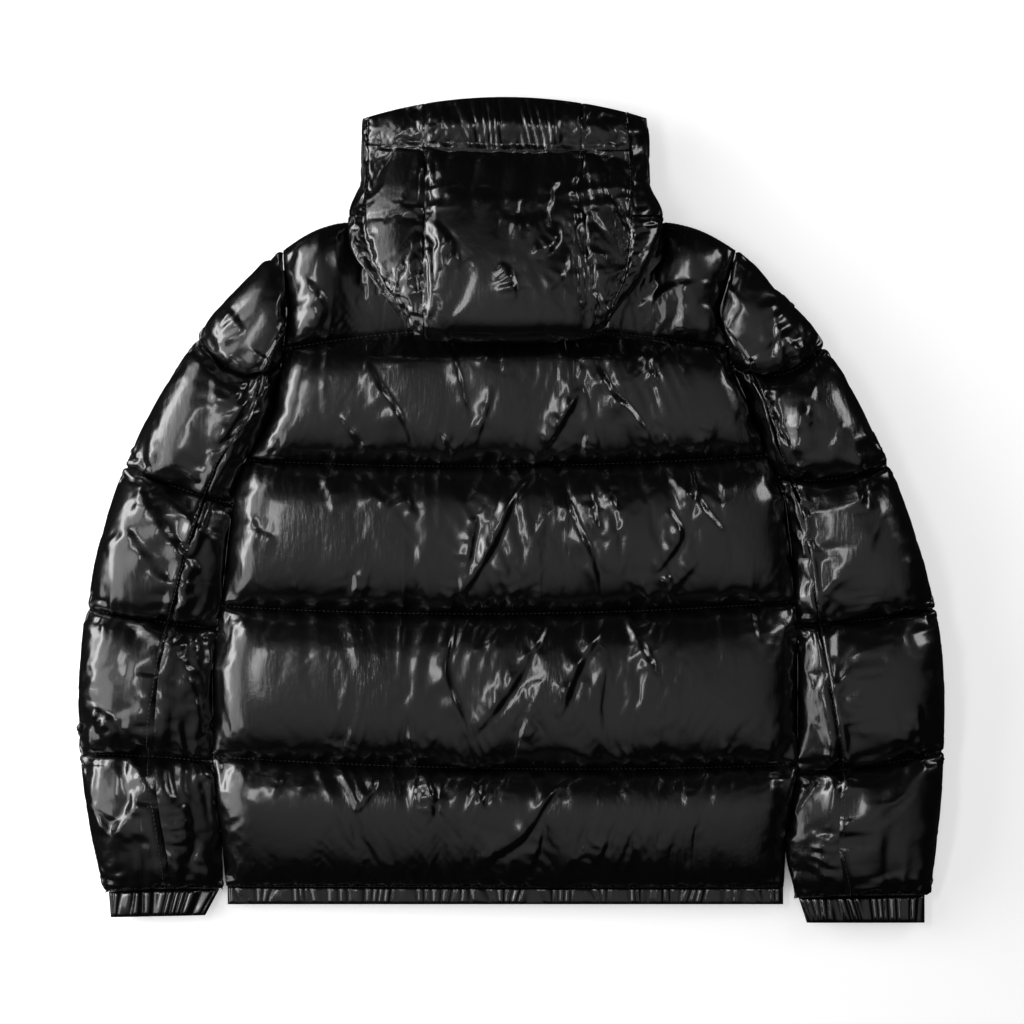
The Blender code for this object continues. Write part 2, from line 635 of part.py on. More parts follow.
def build_pull(look):
    """A flat tab hanging from the bridge, its origin on the hinge line."""
    middle_y, z = slider_place()
    hinge = Vector((CENTRE_X, middle_y, z - SLIDER["thick"] / 2 - (BRIDGE["rise"] - BRIDGE["bar"]) / 2))
    half, thick = PULL["width"] / 2, PULL["thick"] / 2
    mesh = bmesh.new()
    block(mesh, (-half, -thick, -PULL["length"]), (half, thick, thick))
    tips = [e for e in mesh.edges if abs(e.verts[0].co.x - e.verts[1].co.x) < 1e-6 and
            all(v.co.z < -thick for v in e.verts) and abs(e.verts[0].co.y - e.verts[1].co.y) > 1e-6]
    bmesh.ops.bevel(mesh, geom=tips, offset=0.002, segments=3, profile=0.5, affect="EDGES")
    tab = finish("zip_pull", mesh, look)
    cutter = bmesh.new()
    across_half = PULL["window_width"] / 2
    block(cutter, (-across_half, -0.005, -PULL["window"]), (across_half, 0.005, -thick))
    window = finish("pull_window", cutter, look)
    window.hide_render = True
    window.display_type = "WIRE"
    window.parent = tab
    tab.location = hinge
    cut = tab.modifiers.new("Window", "BOOLEAN")
    cut.operation = "DIFFERENCE"
    cut.object = window
    return tab


def main():
    clear_scene()
    shell = material("black_gloss_nylon", SHELL)
    tape = material("zip_tape", TAPE)
    metal = material("gunmetal", METAL)
    build_body(shell)
    build_hem_band(shell)
    for side in ("left", "right"):
        build_sleeve(side, shell)
        build_cuff(side, shell)
        build_hood_side(side, shell)
        build_hood_neck(side, shell)
        build_collar(side, shell)
    build_hood_centre(shell)
    build_zip(tape, metal)
    for item in bpy.data.objects:
        if item.parent is None:
            item.location += RECENTRE


main()
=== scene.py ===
import functools
import math
import random

import bmesh
import bpy
import numpy as np
from mathutils import Matrix, Vector, noise


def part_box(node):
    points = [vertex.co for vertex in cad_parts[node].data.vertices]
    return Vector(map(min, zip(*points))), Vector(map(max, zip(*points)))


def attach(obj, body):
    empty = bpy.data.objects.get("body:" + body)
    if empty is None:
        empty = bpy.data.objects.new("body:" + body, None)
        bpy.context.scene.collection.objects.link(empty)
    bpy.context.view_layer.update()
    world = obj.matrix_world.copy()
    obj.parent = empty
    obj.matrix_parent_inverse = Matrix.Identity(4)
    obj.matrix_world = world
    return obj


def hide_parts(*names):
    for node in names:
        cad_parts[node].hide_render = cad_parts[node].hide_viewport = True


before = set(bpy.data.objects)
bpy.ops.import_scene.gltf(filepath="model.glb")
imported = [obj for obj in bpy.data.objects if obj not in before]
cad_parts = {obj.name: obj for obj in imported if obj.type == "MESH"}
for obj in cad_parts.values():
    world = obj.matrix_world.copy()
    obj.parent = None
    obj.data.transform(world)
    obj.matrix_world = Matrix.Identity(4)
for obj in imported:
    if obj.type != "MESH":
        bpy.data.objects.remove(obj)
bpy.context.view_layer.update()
scene = bpy.context.scene

# Metres. The jacket lies face down: +Z is up out of its back, +Y runs to the hood and
# -X to the wearer's left.
lay = {
    "wall": 0.003,  # shell and lining drawn together at a stitch line
    "bodyMid": 0.034,  # where the front's lining meets the back's
    "hemMid": 0.013,
    "centreX": -0.006,
    "originX": 0.00045,
    "originY": -0.00225,
    "liningGap": 0.0004,
    "seamGap": 0.0003,
    "lowest": 0.0003,
    "turnIn": 0.001,  # how far an elastic strip's lining ends inside its edge
    "leastFill": 0.001,  # least height of a padded panel over its lining
    "neckHalf": 0.161,  # half the neck's width
    "neckPointY": 0.290,
    "backNeckY": 0.277,
    "frontNeckY": 0.215,
    "shoulderBow": 0.005,
}

hands = {"left": -1, "right": 1}  # which way along X the wearer's left and right lie

# y of each stitch line at the left, middle and right, and the loft of the baffle above it
bodyLines = np.array([
    (-0.376, -0.377, -0.377, 0.036),
    (-0.245, -0.257, -0.253, 0.044),
    (-0.094, -0.102, -0.090, 0.044),
    (0.052, 0.046, 0.057, 0.040),
    (0.163, 0.184, 0.163, 0.037),
    (0.262, 0.277, 0.262, 0.037),
])

# the body's outline: y, left x, right x
bodyEdge = np.array([
    (-0.400, -0.286, 0.273), (-0.377, -0.287, 0.273), (-0.322, -0.292, 0.275), (-0.283, -0.296, 0.281),
    (-0.248, -0.299, 0.286), (-0.155, -0.300, 0.286), (-0.093, -0.291, 0.284), (-0.033, -0.285, 0.279),
    (0.012, -0.279, 0.273), (0.050, -0.268, 0.257), (0.075, -0.252, 0.249), (0.100, -0.239, 0.240),
    (0.150, -0.231, 0.219), (0.200, -0.225, 0.209), (0.262, -0.229, 0.224),
])

# from the armhole to the wrist: outer x, outer y, inner y, dip of the line, mid height, loft, elbow seam
sleeveLines = {
    "left": np.array([
        (-0.2305, 0.261, 0.166, 0.000, 0.034, 0.034, 0.62),
        (-0.313, 0.172, 0.150, -0.022, 0.034, 0.038, 0.60),
        (-0.386, 0.045, 0.008, -0.003, 0.034, 0.039, 0.50),
        (-0.424, -0.097, -0.117, -0.002, 0.033, 0.039, 0.28),
        (-0.431, -0.243, -0.251, 0.002, 0.031, 0.036, 0.12),
        (-0.409, -0.382, -0.379, 0.002, 0.014, 0.036, 0.14),
    ]),
    "right": np.array([
        (0.2255, 0.261, 0.166, 0.000, 0.034, 0.034, 0.55),
        (0.311, 0.164, 0.150, -0.020, 0.034, 0.038, 0.55),
        (0.375, 0.047, 0.036, -0.009, 0.034, 0.039, 0.72),
        (0.422, -0.097, -0.114, -0.003, 0.033, 0.039, 0.68),
        (0.431, -0.240, -0.262, -0.004, 0.031, 0.036, 0.40),
        (0.419, -0.385, -0.388, 0.001, 0.014, 0.036, 0.26),
    ]),
}
wristTuck = {"left": 0.0035, "right": 0.011}
cuffEnd = {"left": (-0.4035, -0.4075, -0.3085, -0.4055), "right": (0.4150, -0.4130, 0.2965, -0.4130)}

# from the brim to the fold: y left, middle, right; fold x left, right; outer seam x left, right;
# centre seam x left, right; height of the hollow; loft over it; loft under it
hoodRows = np.array([
    (0.393, 0.4155, 0.392, -0.150, 0.135, -0.1445, 0.115, -0.087, 0.070, 0.033, 0.004, 0.0),
    (0.381, 0.388, 0.378, -0.151, 0.1365, -0.1455, 0.1165, -0.087, 0.070, 0.036, 0.024, 0.0),
    (0.370, 0.362, 0.364, -0.150, 0.136, -0.1455, 0.118, -0.0875, 0.070, 0.041, 0.012, 0.0),
    (0.328, 0.326, 0.328, -0.152, 0.138, -0.1455, 0.120, -0.0865, 0.071, 0.047, 0.029, 0.0),
    (0.298, 0.294, 0.297, -0.163, 0.151, -0.1475, 0.120, -0.0875, 0.072, 0.055, 0.031, 0.004),
    (0.262, 0.258, 0.262, -0.160, 0.144, -0.1410, 0.118, -0.0885, 0.075, 0.064, 0.035, 0.009),
    (0.230, 0.224, 0.230, -0.140, 0.128, -0.1270, 0.110, -0.0870, 0.078, 0.071, 0.036, 0.011),
    (0.203, 0.196, 0.205, -0.117, 0.105, -0.1080, 0.098, -0.0865, 0.080, 0.074, 0.033, 0.012),
    (0.184, 0.166, 0.184, -0.096, 0.086, -0.0940, 0.086, -0.0870, 0.080, 0.070, 0.031, 0.0),
])

# Main creases. Each is its height, its width and the points it runs through; a minus height is a valley.
backCreases = [
    (0.0050, 0.010, [(-0.145, 0.149), (-0.134, 0.125), (-0.117, 0.099), (-0.100, 0.056)]),
    (0.0030, 0.006, [(-0.069, 0.166), (-0.059, 0.153), (-0.043, 0.088)]),
    (0.0026, 0.006, [(-0.019, 0.125), (-0.039, 0.062)]),
    (0.0060, 0.009, [(0.066, 0.118), (0.045, 0.085), (0.028, 0.058)]),
    (0.0055, 0.008, [(0.023, 0.040), (0.004, 0.022), (-0.015, -0.022), (-0.043, -0.070), (-0.060, -0.092)]),
    (0.0052, 0.009, [(0.080, 0.150), (0.100, 0.116), (0.120, 0.095), (0.141, 0.067)]),
    (0.0036, 0.008, [(0.124, 0.149), (0.146, 0.130)]),
    (0.0040, 0.007, [(0.154, 0.040), (0.185, 0.022), (0.213, 0.004)]),
    (0.0040, 0.008, [(0.158, 0.036), (0.186, 0.006), (0.211, -0.022)]),
    (0.0046, 0.008, [(0.045, 0.030), (0.063, -0.013), (0.076, -0.042), (0.088, -0.085)]),
    (0.0034, 0.006, [(0.076, 0.030), (0.085, -0.024)]),
    (0.0030, 0.006, [(0.090, 0.036), (0.104, 0.000)]),
    (0.0044, 0.008, [(0.154, 0.004), (0.166, -0.024), (0.141, -0.062)]),
    (0.0034, 0.008, [(0.185, -0.048), (0.156, -0.078)]),
    (0.0034, 0.008, [(-0.119, 0.036), (-0.095, -0.009)]),
    (0.0030, 0.007, [(-0.037, -0.003), (-0.047, -0.061)]),
    (0.0034, 0.012, [(-0.262, 0.000), (-0.255, -0.022), (-0.233, -0.029)]),
    (0.0050, 0.009, [(-0.057, -0.112), (-0.067, -0.160), (-0.042, -0.225)]),
    (0.0050, 0.009, [(0.020, -0.140), (-0.006, -0.180), (-0.042, -0.225)]),
    (0.0050, 0.010, [(0.090, -0.116), (0.063, -0.156), (0.046, -0.205)]),
    (0.0030, 0.008, [(0.120, -0.120), (0.146, -0.165)]),
    (0.0026, 0.008, [(0.010, -0.205), (0.030, -0.225)]),
    (0.0060, 0.008, [(0.060, -0.262), (0.036, -0.284), (0.011, -0.320), (-0.018, -0.340), (-0.048, -0.366)]),
    (0.0040, 0.008, [(-0.091, -0.262), (-0.081, -0.283), (-0.081, -0.308)]),
    (0.0030, 0.007, [(-0.038, -0.266), (-0.027, -0.299)]),
    (0.0034, 0.008, [(0.030, -0.312), (0.016, -0.362)]),
    (0.0034, 0.008, [(0.095, -0.326), (0.072, -0.362)]),
    (0.0040, 0.012, [(-0.210, 0.235), (-0.190, 0.205), (-0.200, 0.180)]),
    (0.0034, 0.010, [(0.122, 0.200), (0.160, 0.222), (0.200, 0.228)]),
]
sleeveCreases = {
    "left": [
        (0.0050, 0.010, [(-0.242, 0.150), (-0.270, 0.105), (-0.300, 0.055)]),
        (0.0044, 0.009, [(-0.262, 0.140), (-0.290, 0.100)]),
        (0.0050, 0.011, [(-0.372, 0.020), (-0.340, -0.030), (-0.312, -0.060)]),
        (0.0040, 0.009, [(-0.350, 0.030), (-0.320, -0.012), (-0.290, -0.030)]),
        (0.0040, 0.010, [(-0.390, -0.010), (-0.360, -0.055), (-0.335, -0.080)]),
        (0.0046, 0.009, [(-0.428, -0.192), (-0.406, -0.205), (-0.388, -0.226)]),
        (0.0040, 0.010, [(-0.338, -0.140), (-0.318, -0.180), (-0.312, -0.225)]),
        (0.0050, 0.010, [(-0.420, -0.290), (-0.402, -0.322), (-0.380, -0.300), (-0.374, -0.275)]),
        (0.0036, 0.009, [(-0.330, -0.290), (-0.322, -0.345)]),
        (0.0036, 0.010, [(-0.290, 0.205), (-0.268, 0.178)]),
    ],
    "right": [
        (0.0060, 0.010, [(0.302, 0.130), (0.288, 0.080), (0.296, 0.030)]),
        (0.0050, 0.010, [(0.278, 0.130), (0.306, 0.060), (0.330, 0.035)]),
        (0.0044, 0.010, [(0.250, 0.140), (0.262, 0.090), (0.280, 0.045)]),
        (0.0030, 0.010, [(0.370, 0.000), (0.345, -0.050), (0.308, -0.085)]),
        (0.0030, 0.012, [(0.385, -0.105), (0.322, -0.180)]),
        (0.0026, 0.012, [(0.402, -0.275), (0.300, -0.338)]),
        (0.0046, 0.009, [(0.318, -0.325), (0.306, -0.362)]),
        (0.0040, 0.009, [(0.345, 0.030), (0.352, 0.000)]),
        (0.0036, 0.012, [(0.255, 0.215), (0.285, 0.175)]),
    ],
}
hoodCreases = [
    (0.0026, 0.012, [(-0.081, 0.352), (-0.030, 0.346), (0.035, 0.338)]),
    (0.0028, 0.012, [(-0.081, 0.318), (-0.030, 0.309), (0.030, 0.312)]),
    (0.0026, 0.011, [(0.050, 0.334), (0.036, 0.318), (0.040, 0.300)]),
    (0.0030, 0.011, [(-0.014, 0.292), (0.012, 0.283), (0.036, 0.292)]),
    (0.0030, 0.011, [(0.048, 0.282), (0.036, 0.262), (0.016, 0.254)]),
    (0.0032, 0.010, [(-0.012, 0.246), (-0.002, 0.230), (0.002, 0.206)]),
    (0.0022, 0.010, [(-0.084, 0.290), (-0.064, 0.268), (-0.052, 0.236)]),
    (0.0018, 0.010, [(0.056, 0.258), (0.046, 0.232), (0.030, 0.216)]),
]


def lerp(a, b, f):
    return a + (b - a) * f


def smooth(f):
    f = np.clip(f, 0, 1)
    return f * f * (3 - 2 * f)


def rounded(u, power):
    return np.sqrt(np.maximum(0, 1 - np.abs(u) ** power))


# a table's column at fractional rows, on a smooth curve through them
def along(table, column, t):
    values = table[:, column]
    padded = np.concatenate([[2 * values[0] - values[1]], values, [2 * values[-1] - values[-2]]])
    k = np.minimum(t.astype(int), len(values) - 2)
    f = t - k
    before, a, b, after = (padded[k + i] for i in range(4))
    curve = (2 * f**3 - 3 * f**2 + 1) * a + (f**3 - 2 * f**2 + f) * (b - before) / 2
    return curve + (3 * f**2 - 2 * f**3) * b + (f**3 - f**2) * (after - a) / 2


def across(left, middle, right, u):
    return middle + u * (right - left) / 2 + u * u * ((left + right) / 2 - middle)


def edgeX(y, side):
    return np.interp(y, bodyEdge[:, 0], bodyEdge[:, side])


# how full a baffle is at row t: 0 on a stitch line, 1 half way to the next
def fullness(t):
    f = t - np.floor(t + 1e-9)
    return rounded(2 * f - 1, 3.0)


# soft random swell over points, in -1 to 1, the same each run
def swell(points, scale, seed):
    flat = points.reshape(-1, 3) * (scale[0], scale[1], scale[0]) + (seed, 0, 0)
    values = [noise.noise(Vector(p)) for p in flat]
    return np.array(values).reshape(points.shape[:-1])


# a smooth path through a crease's points
def creasePath(points, steps=10):
    table = np.array(points)
    t = np.linspace(0, len(points) - 1, steps * (len(points) - 1) + 1)
    return np.stack([along(table, 0, t), along(table, 1, t)], 1)


# A crease in section: a soft rise, a steep drop and a softer valley after it.
def foldProfile(d, wide):
    soft, steep, after, deep = 1.4 * wide, 0.8 * wide, 1.4 * wide, 0.35
    rise = np.exp(-((np.minimum(d, 0) / soft) ** 2))
    drop = 1 - (1 + deep) * smooth(d / steep)
    valley = -deep * np.exp(-((np.maximum(d - steep, 0) / after) ** 2))
    return np.where(d < 0, rise, np.where(d < steep, drop, valley))


def runningSum(steps):
    return np.concatenate([[0], np.cumsum(steps)])


# height of all creases over points, steep on the left of each one's way
def creaseHeight(points, creases):
    x, y = points[..., 0], points[..., 1]
    height = np.zeros_like(x)
    for tall, wide, way in creases:
        path = creasePath(way)
        a, b = path[:-1], path[1:]
        step = b - a
        length = np.hypot(step[:, 0], step[:, 1])
        reach = runningSum(length)
        near = (
            (x > path[:, 0].min() - 0.04) & (x < path[:, 0].max() + 0.04)
            & (y > path[:, 1].min() - 0.04) & (y < path[:, 1].max() + 0.04)
        )
        if not near.any():
            continue
        p = np.stack([x[near], y[near]], 1)[:, None, :]
        f = np.clip(((p - a) * step).sum(2) / (length**2), 0, 1)
        offset = p - (a + f[..., None] * step)
        distance = np.hypot(offset[..., 0], offset[..., 1])
        best = distance.argmin(1)
        pick = np.arange(len(best))
        d = distance[pick, best]
        side = np.sign(offset[pick, best, 1] * step[best, 0] - offset[pick, best, 0] * step[best, 1])
        s = (reach[best] + f[pick, best] * length[best]) / reach[-1]
        taper = np.clip(4 * s * (1 - s), 0, 1) ** 0.8
        beyond = np.where((s <= 0) | (s >= 1), 0.0, 1.0)
        wobble = 1 + 0.3 * np.sin(23 * s + 40 * way[0][0])
        profile = foldProfile(side * d / (0.45 + 0.55 * taper), wide)
        height[near] += tall * taper * beyond * wobble * profile
    return height


fan = {
    "tall": (0.0012, 0.0032),
    "wide": (0.0055, 0.0110),
    "long": (0.022, 0.065),
    "bend": 0.35,
    "stray": 0.3,
}


# Short folds that run off a panel's stitch line at a lean, as uneven as gathered cloth.
def fanFolds(dice, plan, line, many, lean, scale=1.0, reach=(-0.92, 0.92)):
    def place(u):
        x, y = plan(np.array([u]), np.array([float(line)]))
        return float(x[0]), float(y[0])

    folds = []
    for _ in range(many):
        u = dice.uniform(*reach)
        (x, y), (nextX, nextY) = place(u), place(u + 0.02)
        way = math.atan2(nextY - y, nextX - x) + dice.choice((-1, 1)) * math.pi / 2
        way += dice.gauss(lean, fan["stray"])
        tall, wide, long = (dice.uniform(*fan[key]) for key in ("tall", "wide", "long"))
        bend = dice.uniform(-1, 1) * fan["bend"]
        points = []
        for c in (0, 0.5, 1):
            turn = way + bend * c
            points.append((x + c * long * math.cos(turn), y + c * long * math.sin(turn)))
        folds.append((tall * scale, wide, points[::dice.choice((-1, 1))]))
    return folds


# distances along a grid's second axis
def runOf(points):
    steps = np.linalg.norm(np.diff(points, axis=1), axis=2)
    return np.concatenate([np.zeros((len(points), 1)), np.cumsum(steps, 1)], 1)


def cutSize(points):
    wide, long = runOf(points)[:, -1].mean(), runOf(np.moveaxis(points, 0, 1))[:, -1].mean()
    return f"{1000 * wide:.0f} x {1000 * long:.0f} mm of cloth"


# Small puckers on both sides of stitched rows (axis 0) or columns (axis 1), each a ridge square
# to the line.
def gathers(points, lines, axis, seed, tall=0.0014, reach=0.040, apart=0.009):
    talls = np.broadcast_to(tall, len(lines))
    grid = np.moveaxis(points, axis, 0)
    along0 = runOf(np.moveaxis(grid, 0, 1)).T
    along1 = runOf(grid)
    height = np.zeros(grid.shape[:2])
    for i, line in enumerate(lines):
        away = np.abs(along0 - along0[line])
        near = away < 3 * reach
        s = (along1[line] + 0 * away)[near]
        away = away[near]
        flat = np.stack([s, 0.37 * i + 0 * s, 0 * s], 1)
        lean = 0.9 * swell(flat, (9, 1), seed)
        leaning = flat + np.stack([lean * away, 0 * s, 0 * s], 1)
        ridge = 1 - 2.7 * np.abs(swell(leaning, (0.5 / apart, 1), seed + 2))
        peak = 0.33 * reach * (0.75 + 1.8 * np.clip(swell(flat, (24, 1), seed + 5), -0.25, 1))
        share = away / peak
        height[near] += talls[i] * ridge * share * np.exp(1 - share)
    return np.moveaxis(height, 0, axis)


# unit normals of a grid, up at the given column
def normalsOf(points, column, up=1):
    normal = np.cross(np.gradient(points, axis=1), np.gradient(points, axis=0))
    normal /= np.maximum(1e-12, np.linalg.norm(normal, axis=2, keepdims=True))
    return normal * np.sign(normal[len(points) // 2, column, 2]) * up


# keeps the blown cloth within a soft cap of the shape it was cut for
def capped(settled, planned, cap):
    away = settled - planned
    length = np.maximum(1e-9, np.linalg.norm(away, axis=2, keepdims=True))
    return planned + away * np.tanh(length / cap) * cap / length


# Round flutes with sharp valleys between them, of uneven width and height, as elastic draws cloth up.
def flutes(run, f, apart, seed, slant=0.0):
    flat = np.stack([run, 0 * run, 0 * run], 2)
    drift = 1.5 * swell(flat, (0.4 / apart, 1), seed)
    lean = (slant + 1.6 * swell(flat, (0.3 / apart, 1), seed + 3)) * f
    tall = 0.75 + 0.8 * swell(flat, (0.8 / apart, 1), seed + 6)
    return tall * np.abs(np.sin(np.pi * (run / apart + drift + lean))) ** 0.7


# height of an elastic strip from its seam at f = 0, where it is steep, to its rounded end at f = 1
def stripHeight(f, thin, half):
    rise = rounded(np.clip(1 - f / 0.16, 0, 1), 2)
    end = rounded(np.clip((f - 0.72) / 0.28, 0, 1), 2)
    return thin + (half - thin) * rise * lerp(0.30, 1.0, end)


def newObject(name, mesh):
    data = bpy.data.meshes.new(name)
    mesh.to_mesh(data)
    mesh.free()
    made = bpy.data.objects.new(name, data)
    scene.collection.objects.link(made)
    return made


# a grid of cloth through points[row, column], sharp along its stitched rows
def clothMesh(points, lines=()):
    rows, columns = points.shape[0] - 1, points.shape[1] - 1
    mesh = bmesh.new()
    bmesh.ops.create_grid(mesh, x_segments=columns, y_segments=rows, size=0.5)
    row, column = mesh.verts.layers.int.new("row"), mesh.verts.layers.int.new("column")
    for v in mesh.verts:
        v[column], v[row] = round((v.co.x + 0.5) * columns), round((v.co.y + 0.5) * rows)
        v.co = points[v[row], v[column]]
    sharp = set(lines)
    for e in mesh.edges:
        a, b = e.verts
        if e.is_boundary or (a[row] == b[row] and a[row] in sharp):
            e.smooth = False
    for face in mesh.faces:
        face.smooth = True
    return mesh


puffing = {
    "frames": 22,
    "pressure": 5.0,
    "tension": 20.0,
    "compression": 15.0,
    "shear": 5.0,
    "bending": 0.01,
    "mass": 0.1,
    "quality": 5,
}


# Blows the cloth up with the stitched points held. slack is how much bigger than its place the
# cloth was cut.
def inflate(name, points, held, slack, stiff=1.0):
    rows, columns = points.shape[0] - 1, points.shape[1] - 1
    piece = newObject(name, clothMesh(points))
    coords = np.zeros(len(piece.data.vertices) * 3)
    mesh = bmesh.new()
    bmesh.ops.create_grid(mesh, x_segments=columns, y_segments=rows, size=0.5)
    order = [(round((v.co.y + 0.5) * rows), round((v.co.x + 0.5) * columns)) for v in mesh.verts]
    mesh.free()
    rowOf, columnOf = np.array(order).T
    pins = piece.vertex_groups.new(name="stitched")
    pins.add([int(i) for i in np.nonzero(held[rowOf, columnOf])[0]], 1.0, "ADD")
    loose = piece.vertex_groups.new(name="slack")
    tightness = 1 - np.clip(slack + 0 * points[..., 0], 0, 0.2) / 0.2
    for i, weight in enumerate(tightness[rowOf, columnOf]):
        loose.add([i], float(weight), "ADD")
    cloth = piece.modifiers.new("cloth", "CLOTH")
    cloth.collision_settings.use_collision = False
    settings = cloth.settings
    settings.quality = puffing["quality"]
    settings.mass = puffing["mass"]
    settings.tension_stiffness = puffing["tension"]
    settings.compression_stiffness = puffing["compression"]
    settings.shear_stiffness = puffing["shear"]
    settings.bending_stiffness = puffing["bending"] * stiff
    settings.air_damping = 1.0
    settings.use_pressure = True
    settings.uniform_pressure_force = puffing["pressure"]
    settings.effector_weights.gravity = 0
    settings.vertex_group_mass = "stitched"
    settings.vertex_group_shrink = "slack"
    settings.shrink_min = -0.2
    settings.shrink_max = 0.0
    for step in range(1, puffing["frames"] + 1):
        scene.frame_set(step)
    settled = piece.evaluated_get(bpy.context.evaluated_depsgraph_get()).to_mesh()
    settled.vertices.foreach_get("co", coords)
    out = np.zeros_like(points)
    out[rowOf, columnOf] = coords.reshape(-1, 3)
    data = piece.data
    bpy.data.objects.remove(piece)
    bpy.data.meshes.remove(data)
    scene.frame_set(1)
    print(f"inflated {name}: {cutSize(out)} in {rows * columns} cells")
    return out


# doubles the grid with a smooth curve through the old points
def refine(points):
    for axis in (0, 1):
        p = np.moveaxis(points, axis, 0)
        ends = np.concatenate([[2 * p[0] - p[1]], p, [2 * p[-1] - p[-2]]])
        middle = (9 * (ends[1:-2] + ends[2:-1]) - ends[:-3] - ends[3:]) / 16
        out = np.empty((2 * len(p) - 1, *p.shape[1:]))
        out[::2], out[1::2] = p, middle
        points = np.moveaxis(out, 0, axis)
    return points


def recentre(points):
    return points + np.array([lay["originX"], lay["originY"], 0])


def turnOut(mesh):
    bmesh.ops.recalc_face_normals(mesh, faces=mesh.faces[:])


def onlyVerts(geom):
    return [g for g in geom if isinstance(g, bmesh.types.BMVert)]


# closes a padded panel of the body with a flat lining, just over or under the middle of the body
def flatLined(name, points, gap, lines=()):
    hemY, nextY = bodyLines[:2, 1]

    def toLining(verts):
        for v in verts:
            share = max(0.0, (v.co.y - lay["originY"] - hemY) / (nextY - hemY))
            v.co.z = float(bodyMid(np.array(share))) + gap

    mesh = clothMesh(recentre(points), lines)
    rim = [e for e in mesh.edges if e.is_boundary]
    grown = bmesh.ops.extrude_edge_only(mesh, edges=rim)["geom"]
    toLining(onlyVerts(grown))
    edges = [g for g in grown if isinstance(g, bmesh.types.BMEdge) and g.is_boundary]
    lining = bmesh.ops.triangle_fill(mesh, use_beauty=True, edges=edges)["geom"]
    # rows of extra points near the hem, where the lining drops to the band
    for share in (0.1, 0.2, 0.32, 0.45, 0.6, 0.78):
        y = lerp(hemY, nextY, share) + lay["originY"]
        faces = [g for g in lining if isinstance(g, bmesh.types.BMFace)]
        touched = dict.fromkeys(g for face in faces for g in (*face.edges, *face.verts))
        geom = [*faces, *touched]
        cut = bmesh.ops.bisect_plane(mesh, geom=geom, plane_co=(0, y, 0), plane_no=(0, 1, 0))
        lining = cut["geom"]
        toLining(onlyVerts(cut["geom_cut"]))
    turnOut(mesh)
    return newObject(name, mesh)


# closes a padded panel with a lining grid of its own shape
def shapeLined(name, points, lining, lines=()):
    mesh = clothMesh(recentre(points), lines)
    row, column = mesh.verts.layers.int["row"], mesh.verts.layers.int["column"]
    inner = recentre(lining)
    grown = bmesh.ops.extrude_face_region(mesh, geom=mesh.faces[:], use_keep_orig=True)["geom"]
    for v in onlyVerts(grown):
        v.co = inner[v[row], v[column]]
    turnOut(mesh)
    return newObject(name, mesh)


# a thin shell wall on the inside of a surface
def walled(name, points, thick, lines=()):
    mesh = clothMesh(recentre(points), lines)
    turnOut(mesh)
    mesh.normal_update()
    if max(mesh.faces, key=lambda face: face.calc_center_median().z).normal.z < 0:
        bmesh.ops.reverse_faces(mesh, faces=mesh.faces[:])
    piece = newObject(name, mesh)
    wall = piece.modifiers.new("wall", "SOLIDIFY")
    wall.thickness = thick
    wall.offset = -1
    return piece


stitch = {"apart": 0.0045, "long": 0.0034, "radius": 0.00038, "proud": 0.0003}


# one lock stitch after another along a path, each a low spindle that dips into the cloth at both ends
def sew(name, paths):
    mesh = bmesh.new()
    for path in paths:
        path = recentre(path)
        run = runningSum(np.linalg.norm(np.diff(path, axis=0), axis=1))
        for i in range(int(run[-1] / stitch["apart"])):
            ends = (i + 0.5) * stitch["apart"] + np.array([-0.5, 0.5]) * stitch["long"]
            a, b = (Vector([float(np.interp(s, run, path[:, k])) for k in range(3)]) for s in ends)
            turn = (b - a).to_track_quat("Z", "Y").to_matrix().to_4x4()
            size = Matrix.Diagonal((stitch["radius"], stitch["radius"], (b - a).length / 2, 1))
            place = Matrix.Translation((a + b) / 2) @ turn @ size
            bmesh.ops.create_icosphere(mesh, subdivisions=1, radius=1, matrix=place)
    for face in mesh.faces:
        face.smooth = True
    piece = newObject("stitches_" + name, mesh)
    dress(piece, stitchThread, [])
    print("sewed", name)


# puts a made piece in the scene in place of its CAD solids
def dress(piece, finish, nodes):
    piece.data.materials.clear()
    piece.data.materials.append(finish)
    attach(piece, "jacket")
    if nodes:
        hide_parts(*nodes)


def colour(code):
    parts = [int(code[i:i + 2], 16) / 255 for i in (1, 3, 5)]
    linear = [c / 12.92 if c <= 0.04045 else ((c + 0.055) / 1.055) ** 2.4 for c in parts]
    return (*linear, 1)


def addNode(tree, kind, settings, links=()):
    node = tree.nodes.new(kind)
    for key, value in settings.items():
        if key in node.inputs:
            node.inputs[key].default_value = value
        else:
            setattr(node, key, value)
    for source, target in links:
        tree.links.new(source, node.inputs[target])
    return node


def newMaterial(name, settings):
    made = bpy.data.materials.new(name)
    made.use_nodes = True
    shader = made.node_tree.nodes["Principled BSDF"]
    for key, value in settings.items():
        shader.inputs[key].default_value = value
    return made, made.node_tree, shader


